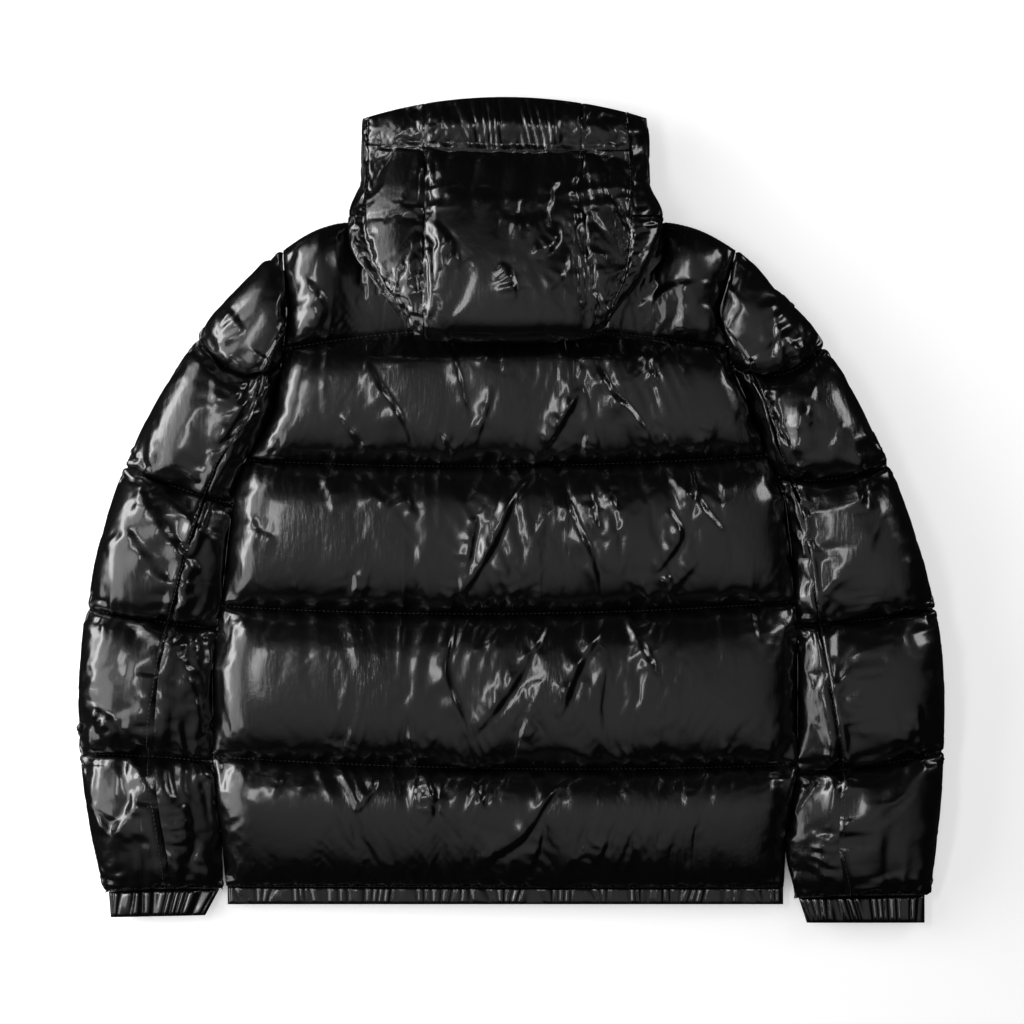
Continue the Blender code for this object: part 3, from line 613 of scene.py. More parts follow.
# Thin nylon taffeta with a polyurethane film: it gives a wet black gloss that breaks into crisp creases.
def coatedNylon():
    made, tree, shader = newMaterial("coatedNylon", {
        "Base Color": colour("#060607"),
        "Roughness": 0.25,
        "IOR": 1.5,
        "Coat Weight": 0.45,
        "Coat Roughness": 0.12,
    })
    place = addNode(tree, "ShaderNodeTexCoord", {})
    at = place.outputs["Object"]
    # crinkles 5 to 12 mm across that the filling leaves in the film
    crinkle = addNode(tree, "ShaderNodeTexNoise", {"Scale": 80.0, "Detail": 3.0, "Roughness": 0.5},
                      [(at, "Vector")])
    # the film's haze varies over about 40 mm
    haze = addNode(tree, "ShaderNodeTexNoise", {"Scale": 25.0, "Detail": 2.0}, [(at, "Vector")])
    spread = addNode(tree, "ShaderNodeMapRange", {"To Min": 0.20, "To Max": 0.30},
                     [(haze.outputs["Fac"], "Value")])
    tree.links.new(spread.outputs["Result"], shader.inputs["Roughness"])
    bump = addNode(tree, "ShaderNodeBump", {"Strength": 0.12, "Distance": 0.004},
                   [(crinkle.outputs["Fac"], "Height")])
    # hairline creases 3 mm apart and 15 mm long, running two ways
    for turn, seed in ((0.55, 0.0), (-0.45, 3.0)):
        stretched = {"Location": (seed, 0, 0), "Rotation": (0, 0, turn), "Scale": (1, 0.2, 1)}
        lean = addNode(tree, "ShaderNodeMapping", stretched, [(at, "Vector")]).outputs["Vector"]
        streak = addNode(tree, "ShaderNodeTexNoise", {"Scale": 300.0, "Detail": 2.0}, [(lean, "Vector")])
        patch = addNode(tree, "ShaderNodeTexNoise", {"Scale": 14.0, "Detail": 1.0}, [(lean, "Vector")])
        amount = addNode(tree, "ShaderNodeMapRange", {"From Min": 0.45, "From Max": 0.65},
                         [(patch.outputs["Fac"], "Value")])
        height = addNode(tree, "ShaderNodeMath", {"operation": "MULTIPLY"})
        tree.links.new(streak.outputs["Fac"], height.inputs[0])
        tree.links.new(amount.outputs["Result"], height.inputs[1])
        bump = addNode(tree, "ShaderNodeBump", {"Strength": 0.35, "Distance": 0.001},
                       [(height.outputs["Value"], "Height"), (bump.outputs["Normal"], "Normal")])
    # the weave is 0.2 mm apart, drawn at 1 mm so that it shows
    weave = addNode(tree, "ShaderNodeTexNoise", {"Scale": 1000.0, "Detail": 1.0}, [(at, "Vector")])
    grain = addNode(tree, "ShaderNodeBump", {"Strength": 0.04, "Distance": 0.0005},
                    [(weave.outputs["Fac"], "Height"), (bump.outputs["Normal"], "Normal")])
    tree.links.new(grain.outputs["Normal"], shader.inputs["Normal"])
    return made


# Spun polyester thread: soft and a little lighter than the shell.
def thread():
    return newMaterial("spunThread", {"Base Color": colour("#252528"), "Roughness": 0.5})[0]


# Woven polyester tape: matt black with fine ribs along it.
def wovenTape():
    look = {"Base Color": colour("#141416"), "Roughness": 0.8}
    made, tree, shader = newMaterial("wovenPolyesterTape", look)
    place = addNode(tree, "ShaderNodeTexCoord", {})
    # ribs 0.5 mm apart, drawn at 1 mm so that they show
    rows = {"bands_direction": "X", "Scale": 160.0, "Distortion": 0.6, "Detail": 1.0}
    ribs = addNode(tree, "ShaderNodeTexWave", rows, [(place.outputs["Object"], "Vector")])
    relief = addNode(tree, "ShaderNodeBump", {"Strength": 0.5, "Distance": 0.0003},
                     [(ribs.outputs["Fac"], "Height")])
    tree.links.new(relief.outputs["Normal"], shader.inputs["Normal"])
    return made


# Die-cast zinc, blackened and tumbled: a dark soft metal shine, worn a little unevenly.
def blackenedZinc():
    look = {"Base Color": colour("#3b3c3f"), "Metallic": 1.0, "Roughness": 0.35}
    made, tree, shader = newMaterial("blackenedZinc", look)
    place = addNode(tree, "ShaderNodeTexCoord", {})
    wear = addNode(tree, "ShaderNodeTexNoise", {"Scale": 400.0, "Detail": 3.0},
                   [(place.outputs["Object"], "Vector")])
    polish = addNode(tree, "ShaderNodeMapRange", {"To Min": 0.25, "To Max": 0.45},
                     [(wear.outputs["Fac"], "Value")])
    tree.links.new(polish.outputs["Result"], shader.inputs["Roughness"])
    relief = addNode(tree, "ShaderNodeBump", {"Strength": 0.1, "Distance": 0.0001},
                     [(wear.outputs["Fac"], "Height")])
    tree.links.new(relief.outputs["Normal"], shader.inputs["Normal"])
    return made


nylon = coatedNylon()
stitchThread = thread()


def topY(x, neckY):
    d = np.abs(x - lay["centreX"])
    neckHalf, neckPointY, tipY = lay["neckHalf"], lay["neckPointY"], bodyLines[-1][0]
    tip = np.where(x < lay["centreX"], lay["centreX"] - edgeX(tipY, 1), edgeX(tipY, 2) - lay["centreX"])
    curve = neckY + (neckPointY - neckY) * (d / neckHalf) ** 2
    down = np.clip((d - neckHalf) / (tip - neckHalf), 0, 1)
    bow = lay["shoulderBow"] * np.sin(np.pi * down)
    return np.where(d <= neckHalf, curve, lerp(neckPointY, tipY, down) + bow)


def bodyPlan(u, t, neckY):
    last = len(bodyLines) - 1
    k = np.minimum(t.astype(int), last - 1)
    f = t - k
    low, high = bodyLines[k], bodyLines[k + 1]
    left = edgeX(lerp(low[..., 0], high[..., 0], f), 1)
    right = edgeX(lerp(low[..., 2], high[..., 2], f), 2)
    x = np.where(u < 0, lerp(left, lay["centreX"], u + 1), lerp(lay["centreX"], right, u))
    yLow = across(low[..., 0], low[..., 1], low[..., 2], u)
    yHigh = across(high[..., 0], high[..., 1], high[..., 2], u)
    yHigh = np.where(k == last - 1, topY(x, neckY), yHigh)
    return x, lerp(yLow, yHigh, f)


def bodyMid(t):
    return lerp(lay["hemMid"], lay["bodyMid"], smooth(t / 0.75))


def gridOf(columns, rows, lastRow, u0=-1.0, u1=1.0):
    u = np.linspace(u0, u1, columns + 1)
    t = np.linspace(0, lastRow, rows + 1)
    return np.meshgrid(u, t)


# the stitch lines and the border
def stitched(t):
    return rimHeld(t.shape) | (np.abs(t - np.round(t)) < 1e-6)


back = {
    "columns": 140,
    "rowsPerBaffle": 27,
    "start": 0.42,  # share of the loft the cloth starts at
    "slack": 0.085,
    "seed": 3.0,
    "edgePower": 13,
    "hoodHalf": 0.140,
    "hoodFade": 0.050,
    "hoodFoldY": 0.150,
    "pressed": 0.38,  # share of the loft that is left under the hood
    "squarer": 12,  # added to the power where the upper baffles are boxier
    "groove": 0.0014,
    "rumple": 0.0020,
    "gathers": (0.0010, 0.0021, 0.0023, 0.0023, 0.0020, 0.0010),  # how tall the puckers are at each line
    "fans": 16,
    "cap": 0.0095,
}


def makeBack():
    rows = back["rowsPerBaffle"] * (len(bodyLines) - 1)
    u, t = gridOf(back["columns"], rows, len(bodyLines) - 1)
    x, y = bodyPlan(u, t, lay["backNeckY"])
    loft = bodyLines[np.minimum(t.astype(int), len(bodyLines) - 2), 3]
    # the hood presses the yoke flat
    beside = 1 - smooth((np.abs(x - lay["centreX"]) - back["hoodHalf"]) / back["hoodFade"])
    under = beside * smooth((y - back["hoodFoldY"]) / 0.030)
    slope = smooth((topY(x, lay["backNeckY"]) - y) / back["hoodFade"])
    loft = loft * (1 - under * (1 - back["pressed"] * slope))
    mid = bodyMid(t)
    power = back["edgePower"] + back["squarer"] * np.exp(-(((t - 3.6) / 0.5) ** 2))
    full = fullness(t) * rounded(u, power)
    flat = mid + lay["wall"] + back["start"] * loft * full
    points = np.stack([x, y, flat], 2)
    # the middle and right of the back are cut fuller and crease more than the left
    fuller = 0.4 + 0.6 * np.exp(-(((x - 0.05) / 0.15) ** 2))
    sheared = points + np.stack([1.3 * swell(points, (5, 4), back["seed"] + 9) * y, 0 * x, 0 * x], 2)
    loose = swell(sheared, (60, 32), back["seed"]) + 0.6 * swell(sheared, (22, 16), back["seed"] + 4)
    loose *= back["rumple"]
    held = stitched(t)
    dice = random.Random(5)
    fans = []
    plan = functools.partial(bodyPlan, neckY=lay["backNeckY"])
    for k in range(1, 5):
        fans += fanFolds(dice, plan, k, back["fans"], 0.0, 0.8, (-0.45, 0.95))
        fans += fanFolds(dice, plan, k, back["fans"] // 3, 0.3, 0.7, (-0.97, -0.45))
    folds = 0.8 * creaseHeight(points, backCreases)
    points[..., 2] += np.where(held, 0, (loose * fuller + folds) * np.minimum(1, 3 * full))
    slack = back["slack"] * fuller
    slack = slack * (1 - 0.6 * under)
    settled = inflate("back", points, held, slack)
    planned = np.stack([x, y, mid + lay["wall"] + loft * full], 2)
    settled = capped(settled, planned, back["cap"])
    settled[..., 2] = np.maximum(settled[..., 2], mid + lay["leastFill"])
    fine = refine(settled)
    shown = refine(np.stack([mid, under, full], 2))
    lines = range(0, len(fine), 2 * back["rowsPerBaffle"])
    loose = np.minimum(1, 2.5 * shown[..., 2]) * (1 - shown[..., 1])
    lift = 0.5 * creaseHeight(fine, backCreases)
    lift += creaseHeight(fine, fans)
    fine[..., 2] += lift * loose
    lift = gathers(fine, lines, 0, back["seed"], tall=back["gathers"]) * (1 - shown[..., 1])
    fine += normalsOf(fine, back["columns"]) * lift[..., None]
    fine[lines, 1:-1, 2] -= back["groove"]
    fine[..., 2] = np.maximum(fine[..., 2], shown[..., 0] + lay["leastFill"])
    piece = flatLined("backPanel", fine, lay["liningGap"], lines)
    dress(piece, nylon, ["back"])
    sew("back", [fine[i, 1:-1] + np.array([0, 0, stitch["proud"]]) for i in lines])


front = {
    "columns": 46,
    "rowsPerBaffle": 20,
    "start": 0.5,
    "slack": 0.06,
    "seed": 11.0,
    "rumple": 0.002,
    "gathers": 0.0010,
    "groove": 0.0010,
}
zipHalf = 0.0026 + 0.007 + 0.0008  # from the zip's middle to a front panel's edge


def makeFront(side):
    hand = hands[side]
    rows = front["rowsPerBaffle"] * (len(bodyLines) - 1)
    v, t = gridOf(front["columns"], rows, len(bodyLines) - 1, 0, 1)
    if side == "right":
        v = v[:, ::-1]
    x, y = bodyPlan(hand * v, t, lay["frontNeckY"])
    x = x + hand * zipHalf * (1 - v)
    mid = bodyMid(t)
    full = fullness(t) * rounded(v, 8) * rounded(1 - v, 10)
    depth = lay["wall"] + 1.4 * (mid - lay["wall"]) * full
    z = mid - front["start"] * depth - 0.5 * lay["wall"]
    points = np.stack([x, y, np.maximum(lay["leastFill"], z)], 2)
    held = stitched(t)
    points[..., 2] -= np.where(held, 0, front["rumple"] * swell(points, (60, 40), front["seed"] + hand))
    settled = inflate("front_" + side, points, held, front["slack"])
    fine, fineMid = refine(settled), refine(mid[..., None])[..., 0]
    lines = range(0, len(fine), 2 * front["rowsPerBaffle"])
    normal = normalsOf(fine, front["columns"], -1)
    fine += normal * gathers(fine, lines, 0, front["seed"] + hand, tall=front["gathers"])[..., None]
    fine[lines, 1:-1, 2] += front["groove"]
    fine[..., 2] = np.clip(fine[..., 2], lay["lowest"], fineMid - lay["leastFill"])
    piece = flatLined("frontPanel_" + side, fine, -lay["liningGap"], lines)
    dress(piece, nylon, ["front_" + side])
    sew("front_" + side, [fine[i, 1:-1] - np.array([0, 0, stitch["proud"]]) for i in lines])


hemBand = {
    "columns": 900,
    "rows": 10,
    "half": 0.0055,
    "thin": 0.0004,
    "apart": 0.0105,  # from one gather to the next
    "endY": -0.3945,
    "corner": 0.004,
    "seamGap": 0.0004,
    "tongue": 0.002,  # how far the lining reaches under the seam
}


# An elastic strip, gathered all along, folded flat round the hem and open at the zip.
def makeHemBand():
    endY = hemBand["endY"]
    left, right = float(edgeX(endY, 1)), float(edgeX(endY, 2))
    centre = lay["centreX"]
    innerLeft, innerRight = left + hemBand["corner"], right - hemBand["corner"]
    stations = [centre + zipHalf, innerRight, right, innerRight]
    stations += [innerLeft, left, innerLeft, centre - zipHalf]
    levels = [-1, -1, 0, 1, 1, 0, -1, -1]
    steps = np.abs(np.diff(stations)) + hemBand["corner"] * np.abs(np.diff(levels))
    reach = runningSum(steps)
    s = np.linspace(0, reach[-1], hemBand["columns"] + 1)
    x = np.interp(s, reach, stations)
    level = np.interp(s, reach, levels)
    f = np.linspace(0, 1, hemBand["rows"] + 1)[:, None] ** 1.3
    x, level, run, f = np.broadcast_arrays(x, level, s, f)
    half = np.where(x > centre, right - centre, centre - left)
    u = np.clip((x - centre) / half, -1, 1)
    topEdge = bodyPlan(u, np.zeros_like(u), 0)[1] - hemBand["seamGap"]
    y = lerp(topEdge, endY, f)
    ripple = flutes(run, f, hemBand["apart"], 5.0)
    height = stripHeight(f, hemBand["thin"], hemBand["half"])
    height = lerp(hemBand["thin"], height, np.clip(0.5 + 0.5 * ripple, 0, 1))
    points = np.stack([x, y, lay["hemMid"] + level * height], 2)
    lining = points.copy()
    lining[..., 0] = lerp(centre, x, 0.985)
    lining[0, :, 1] += hemBand["tongue"]
    lining[-1, :, 1] += lay["turnIn"]
    lining[..., 2] = lay["hemMid"] + level * 0.5 * hemBand["thin"]
    piece = shapeLined("hemBandCloth", points, lining)
    dress(piece, nylon, ["hem_band"])
    print(f"gathered the hem band: {cutSize(points)}")


sleeve = {
    "columns": {"outer": 44, "under": 26},
    "rowsPerBaffle": 27,
    "start": 0.5,
    "slack": {"outer": 0.055, "under": 0.035},
    "stiff": 12,  # times the bending of the back's cloth, for broader folds
    "rumple": {"left": 0.0020, "right": 0.0013},
    "gathers": 0.0021,
    "elbowGathers": {"left": 0.0010, "right": 0.0005},
    "cap": {"outer": 0.009, "under": 0.005},
    "frontSeam": 0.55,
    "boxiness": {"left": 2.8, "right": 3.6},
    "seed": {"left": 21.0, "right": 27.0},
    "fans": 9,
    "lean": {"left": 0.6, "right": -0.6},
    # how much lower it lies beside the body, at the top and at the wrist
    "sink": {"left": (0.05, 0.35), "right": (0.30, 0.32)},
    "thick": 0.002,
    "puff": 0.003,  # how far the outer fold bulges between stitch lines
    "groove": 0.0014,
}


def sleevePlan(side, u, t):
    lines = sleeveLines[side]
    hand, column = hands[side], 1 if side == "left" else 2
    last = len(lines) - 1
    outerX, outerY = along(lines, 0, t), along(lines, 1, t)
    innerY = np.interp(t, range(last + 1), lines[:, 2])
    tuck = wristTuck[side] * smooth(1 - (last - t) / 0.4)
    innerX = edgeX(innerY, column) + hand * (lay["seamGap"] + tuck)
    f = (u + 1) / 2
    firstY = lerp(lines[0, 1], lines[0, 2], f)
    firstX = lerp(lines[0, 0], edgeX(lines[0, 2], column) + hand * lay["seamGap"], f)
    toBody = edgeX(firstY, column) + hand * lay["seamGap"] - firstX
    dip = along(lines, 3, t) * (1 - u * u)
    x = lerp(outerX, innerX, f) + toBody * (1 - smooth(t / 0.9))
    return x, lerp(outerY, innerY, f) + dip


def turnFor(side, u):
    return np.arccos(np.sign(u) * np.abs(u) ** (sleeve["boxiness"][side] / 2))


def sleeveFans(side):
    dice = random.Random(8 if side == "left" else 9)
    folds = []
    plan = functools.partial(sleevePlan, side)
    for k in range(1, len(sleeveLines[side])):
        folds += fanFolds(dice, plan, k, sleeve["fans"], sleeve["lean"][side])
    return folds


def sleeveSurface(side, turn, t, share):
    lines = sleeveLines[side]
    k = np.minimum(t.astype(int), len(lines) - 2)
    u = np.sign(np.cos(turn)) * np.abs(np.cos(turn)) ** (2 / sleeve["boxiness"][side])
    h = np.sin(turn)
    mid, loft = along(lines, 4, t), lines[k, 5]
    full = fullness(t)
    bulge = sleeve["puff"] * np.where(k == 0, 2, 1) * full * np.maximum(0, -u) ** 3
    x, y = sleevePlan(side, u, t)
    outward = np.array([lines[0, 0] - lines[3, 0], lines[0, 1] - lines[3, 1]])
    outward = np.array([outward[1], -outward[0]]) / np.linalg.norm(outward)
    outward = outward if (outward[0] < 0) == (side == "left") else -outward
    x, y = x + bulge * outward[0], y + bulge * outward[1]
    level = 1 - lerp(*sleeve["sink"][side], smooth((t - 1.5) / 1.5)) * smooth((u + 0.3) / 1.3)
    up = lay["wall"] + loft * full * share * level
    down = lay["wall"] + (mid - lay["wall"]) * full * share
    return np.stack([x, y, mid + np.where(h > 0, up, down) * h], 2)


# draws each row's furthest point back out to the planned outline, and its neighbours with it
def toOutline(fine, planned, turn, side, part):
    hand = hands[side] * (1 if part == "outer" else -1)
    short = (hand * planned[..., 0]).max(1) - (hand * fine[..., 0]).max(1)
    share = np.clip(np.cos(turn) * (-1 if part == "outer" else 1), 0, 1)
    fine[..., 0] += hand * short[:, None] * smooth(1.6 * share)
    return fine


def makeSleevePiece(side, part, fromTurn, toTurn):
    lines, columns = sleeveLines[side], sleeve["columns"][part]
    rows = sleeve["rowsPerBaffle"] * (len(lines) - 1)
    f, t = gridOf(columns, rows, len(lines) - 1, 0, 1)
    turn = lerp(fromTurn(t), toTurn, f)
    atSeam = np.exp(-((f * columns / 2.5) ** 2))
    points = sleeveSurface(side, turn, t, sleeve["start"] + 0.4 * atSeam)
    planned = sleeveSurface(side, turn, t, 1 - 0.08 * atSeam)
    held = stitched(t)
    upper = np.sin(turn) > 0
    seed = sleeve["seed"][side]
    loose = swell(points, (34, 28), seed) + 0.8 * swell(points, (15, 12), seed + 4)
    loose *= sleeve["rumple"][side] * np.where(upper, 1, -1)
    folds = 0.8 * creaseHeight(points, sleeveCreases[side]) * upper
    points[..., 2] += np.where(held, 0, loose + folds * np.minimum(1, 3 * fullness(t)))
    flip = slice(None, None, -1 if (side == "right") == (part == "outer") else 1)
    name, slack = side + "_" + part, sleeve["slack"][part]
    settled = inflate(name, points[:, flip], held[:, flip], slack, sleeve["stiff"])[:, flip]
    settled = capped(settled, planned, sleeve["cap"][part])
    settled[:, 0] = planned[:, 0]
    fine = toOutline(refine(settled), refine(planned), refine(turn[..., None])[..., 0], side, part)
    extra = refine(np.stack([np.minimum(1, 3 * fullness(t)), upper * 1.0], 2))
    stitchRows = range(0, len(fine), 2 * sleeve["rowsPerBaffle"])
    lift = 0.5 * creaseHeight(fine, sleeveCreases[side])
    lift += creaseHeight(fine, sleeveFans(side))
    fine[..., 2] += lift * np.clip(extra[..., 0], 0, 1) * np.clip(extra[..., 1], 0, 1)
    normal = normalsOf(fine, 2)
    lift = gathers(fine, stitchRows, 0, seed, tall=sleeve["gathers"])
    lift += gathers(fine, [0], 1, seed, tall=sleeve["elbowGathers"][side], reach=0.016)
    fine += normal * lift[..., None]
    fine[stitchRows] -= normal[stitchRows] * sleeve["groove"]
    fine[:, 0] -= normal[:, 0] * sleeve["groove"]
    edge = edgeX(fine[..., 1], 1 if side == "left" else 2)
    if side == "left":
        fine[..., 0] = np.minimum(fine[..., 0], edge - lay["seamGap"])
    else:
        fine[..., 0] = np.maximum(fine[..., 0], edge + lay["seamGap"])
    fine[..., 2] = np.maximum(fine[..., 2], lay["lowest"])
    proud = fine + normal * stitch["proud"]
    paths = [proud[i] for i in stitchRows[1:]]
    if part == "outer":
        paths.append(proud[:, 1])
    sew(name, paths)
    if flip.step == -1:
        fine = fine[:, ::-1]
    piece = walled("sleeve_" + name + "Cloth", fine, sleeve["thick"], stitchRows)
    dress(piece, nylon, ["sleeve_" + name])


def makeSleeve(side):
    lines = sleeveLines[side]
    frontTurn = float(turnFor(side, np.array(sleeve["frontSeam"])))

    def elbow(t):
        return turnFor(side, along(lines, 6, t))

    makeSleevePiece(side, "outer", elbow, 2 * math.pi - frontTurn)
    makeSleevePiece(side, "under", elbow, -frontTurn)


cuff = {"columns": 220, "rows": 14, "half": 0.0095, "thin": 0.0008, "apart": 0.0085, "tongue": 0.0022}


# A flat tube of elastic, gathered all round.
def makeCuff(side):
    lines = sleeveLines[side]
    last = float(len(lines) - 1)
    end = cuffEnd[side]
    mid = float(lines[-1, 4])
    dense = np.linspace(0, 2 * math.pi, 2000)
    acrossDense = 0.5 - 0.5 * np.sign(np.cos(dense)) * np.abs(np.cos(dense)) ** 0.5
    wide = abs(end[2] - end[0])
    steps = np.hypot(np.diff(acrossDense) * wide, np.diff(np.sin(dense)) * cuff["half"])
    reach = runningSum(steps)
    run = np.linspace(0, reach[-1], cuff["columns"] + 1)
    turn = np.interp(run, reach, dense)
    f = np.linspace(0, 1, cuff["rows"] + 1)[:, None] ** 1.2
    turn, run, f = np.broadcast_arrays(turn, run, f)
    g = 0.5 - 0.5 * np.sign(np.cos(turn)) * np.abs(np.cos(turn)) ** 0.5
    topX, topY = sleevePlan(side, lerp(-1.0, 1.0, lerp(0.03, 0.97, g)), np.full_like(g, last))
    topY = topY - lay["seamGap"]
    x = lerp(topX, lerp(end[0], end[2], g), f)
    y = lerp(topY, lerp(end[1], end[3], g), f)
    ripple = flutes(run, f, cuff["apart"], 8.0 if side == "left" else 9.0)
    height = stripHeight(f, cuff["thin"], cuff["half"])
    height = lerp(cuff["thin"], height, np.clip(0.35 + 0.65 * ripple, 0, 1))
    points = np.stack([x, y, mid + height * np.sin(turn)], 2)
    lining = points.copy()
    middle = lerp(end[0], end[2], 0.5)
    lining[..., 0] = lerp(middle, x, 0.93)
    lining[0, :, 1] += cuff["tongue"]
    lining[-1, :, 1] += lay["turnIn"]
    lining[..., 2] = mid + lay["liningGap"] * np.sin(turn)
    flip = -hands[side]
    piece = shapeLined("cuff_" + side + "Cloth", points[:, ::flip], lining[:, ::flip])
    dress(piece, nylon, ["cuff_" + side])
    print(f"gathered the cuff {side}: {cutSize(points)}")


hood = {
    "columns": {"centre": 48, "left": 20, "right": 16},
    "rumple": {"centre": 0.0020, "side": 0.0016, "under": 0.0010},
    "start": 0.55,
    "slack": 0.022,
    "stiff": 6,
    "flute": 0.0040,  # how deep the drawcord gathers the brim
    "apart": 0.0095,
    "drawnHalf": 0.055,
    "tilt": 0.16,  # how steeply the left side panel slopes down
    "gathers": 0.0017,
    "gap": 0.00006,
    "neckGap": 0.0004,
    "neckRow": 4.1,
    "chinY": 0.335,  # the collar's top edge at the zip
    "chinLow": 0.004,  # how near the floor the collar reaches
    "tunnelRow": 2.0,  # the stitch line that closes the drawcord tunnel
    "roundness": 2.4,
    "cap": 0.008,
    "groove": 0.0013,
    "bandRows": 13,
}


def hoodY(x, t):
    u = np.clip((x - lay["centreX"]) / 0.150, -1, 1)
    return across(along(hoodRows, 0, t), along(hoodRows, 1, t), along(hoodRows, 2, t), u)


# the hood's hollow, lower under the left side panel, which slopes down towards the chin
def hollowAt(x, t):
    lean = np.maximum(0, along(hoodRows, 7, t) - x)
    return along(hoodRows, 9, t) - hood["tilt"] * lean * (1 - smooth((t - 2.6) / 3.0))


def hoodRound(x, t):
    left = lerp(along(hoodRows, 3, t), along(hoodRows, 5, t), 0.8)  # the left side falls away more
    right = along(hoodRows, 4, t)
    return rounded(np.clip((2 * x - left - right) / (right - left), -1, 1), hood["roundness"])


def hoodTop(x, t, share):
    near = np.minimum(np.abs(x - along(hoodRows, 7, t)), np.abs(x - along(hoodRows, 8, t)))
    groove = 1 - 0.2 * np.exp(-((near / 0.010) ** 2))
    nose = rounded(np.clip(t - 7, 0, 1), 2)
    loft = along(hoodRows, 10, t) * hoodRound(x, t) * groove * share
    return hollowAt(x, t) + (lay["wall"] + loft) * nose


def hoodUnder(x, t):
    return hollowAt(x, t) - lay["wall"] - along(hoodRows, 11, t) * hoodRound(x, t)


def rimHeld(shape, row=None):
    held = np.zeros(shape, bool)
    held[0] = held[-1] = held[:, 0] = held[:, -1] = True
    if row is not None:
        held[row] = True
    return held


def hoodLoose(points, t, seed):
    flat = points * (1, 1, 0)
    return np.where(t < hood["tunnelRow"], 0.0, hood["rumple"]["centre"] * swell(flat, (16, 26), seed + 1))


# the drawcord gathers the brim most in its middle
def brimFlutes(fine, t):
    f = t / hood["tunnelRow"]
    drawn = np.exp(-(((fine[..., 0] - lay["centreX"]) / hood["drawnHalf"]) ** 4))
    drawn *= rounded(np.clip(2 * f - 1, -1, 1), 4) * (t < hood["tunnelRow"])
    return hood["flute"] * (flutes(fine[..., 0], f, hood["apart"], 12.0, -1.2) - 0.4) * drawn


# blows up, smooths, gathers and closes one hood panel
def finishHoodPiece(name, node, points, planned, lining, held, slack, flip, seed,
                    rowLines, columnLines, folds=None, t=None):
    loose = np.broadcast_to(slack, held.shape)[:, ::flip]
    settled = inflate(name, points[:, ::flip], held[:, ::flip], loose, hood["stiff"])[:, ::flip]
    settled = np.where(held[..., None], planned, capped(settled, planned, hood["cap"]))
    fine, inside = refine(settled), refine(lining)
    if folds is not None:
        over = refine(folds[..., None])[..., 0].clip(0, 1)
        lift = 0.5 * creaseHeight(fine, hoodCreases)
        lift += brimFlutes(fine, refine(t[..., None])[..., 0])
        fine[..., 2] += lift * over
    normal = normalsOf(fine, fine.shape[1] // 2)
    tall = hood["gathers"]
    lift = gathers(fine, [2 * i for i in rowLines], 0, seed, tall=tall, reach=0.022, apart=0.0075)
    tall *= 1.0 if rowLines else 0.45
    lift += gathers(fine, [2 * i for i in columnLines], 1, seed + 1, tall=tall, reach=0.022, apart=0.0085)
    fine += normal * (lift * refine(1.0 - held[..., None])[..., 0].clip(0, 1))[..., None]
    inner = [2 * i for i in rowLines if 0 < i < len(points) - 1]
    fine[inner] -= normal[inner] * hood["groove"]
    seams = [2 * i for i in columnLines]
    fine[:, seams] -= normal[:, seams] * hood["groove"]
    fine[..., 2] = np.maximum(fine[..., 2], lay["lowest"])
    piece = shapeLined(name + "Cloth", fine, inside, inner)
    dress(piece, nylon, [node])
    if inner:
        proud = fine + normal * stitch["proud"]
        outer = [] if "Centre" in name else [proud[:, -2]]
        sew(name, [proud[i] for i in inner] + outer)


# rows from the brim to the fold, closer together in the drawcord tunnel
def overRows():
    tunnel = np.linspace(0, hood["tunnelRow"], hood["bandRows"] + 1)[:-1]
    return np.concatenate([tunnel, np.linspace(hood["tunnelRow"], 7, 50)])


# rows of the hood's middle strip: over from the brim, round the fold, and under to the neck seam
def makeHoodCentre():
    columns = hood["columns"]["centre"]
    band = hood["bandRows"]
    overT = overRows()
    bend = np.linspace(math.pi / 2, -math.pi / 2, 17)[1:-1]
    underT = np.linspace(7, hood["neckRow"], 28)
    t = np.concatenate([overT, 7 + np.cos(bend), underT])[:, None] + np.zeros(columns + 1)
    f = np.linspace(0, 1, columns + 1)[None, :]
    x = lerp(along(hoodRows, 7, t) + hood["gap"], along(hoodRows, 8, t) - hood["gap"], f)
    hollow = along(hoodRows, 9, t)
    n, m = len(overT), len(overT) + len(bend)

    def surface(share):
        y, z = hoodY(x, t), np.zeros_like(x)
        z[:n] = hoodTop(x[:n], t[:n], share[:n])
        z[m:] = hoodUnder(x[m:], t[m:])
        for i, angle in enumerate(bend):
            row = n + i
            y[row] = lerp(y[n - 1], hoodY(x[row], np.full(columns + 1, 8.0)), math.cos(angle))
            end = z[n - 1] if angle > 0 else z[m]
            z[row] = lerp(hollow[row], end, abs(math.sin(angle)))
        z[-1] = lay["bodyMid"] + lay["wall"] + lay["leastFill"]
        y[-1] = topY(x[-1], lay["backNeckY"]) + hood["neckGap"]
        return np.stack([x, y, z], 2)

    points = surface(lerp(1.0, hood["start"], rounded(2 * f - 1, 3)) + 0 * x)
    planned = surface(1.0 + 0 * x)
    held = rimHeld(x.shape, band)
    over = smooth((7 - t) / 0.9)
    over[n:] = 0
    folds = 0.8 * creaseHeight(points, hoodCreases)
    points[..., 2] += np.where(held, 0, (hoodLoose(points, t, 33.0) + folds) * over)
    slack = np.where(t < hood["tunnelRow"], 0.03, hood["slack"])
    lining = np.stack([x, planned[..., 1], hollow], 2)
    lining[:n, :, 2] += lay["liningGap"]
    lining[m:, :, 2] -= lay["liningGap"]
    lining[n:m, :, 1] += 0.006
    lining[-1, :, 2] = planned[-1, :, 2] + 0.002
    lining[-2, :, 2] = np.minimum(lining[-2, :, 2], planned[-2, :, 2] + 0.010)
    finishHoodPiece("hoodCentre", "hood_centre", points, planned, lining, held, slack, -1, 33.0,
                    [0, band], [0, columns], over, t)


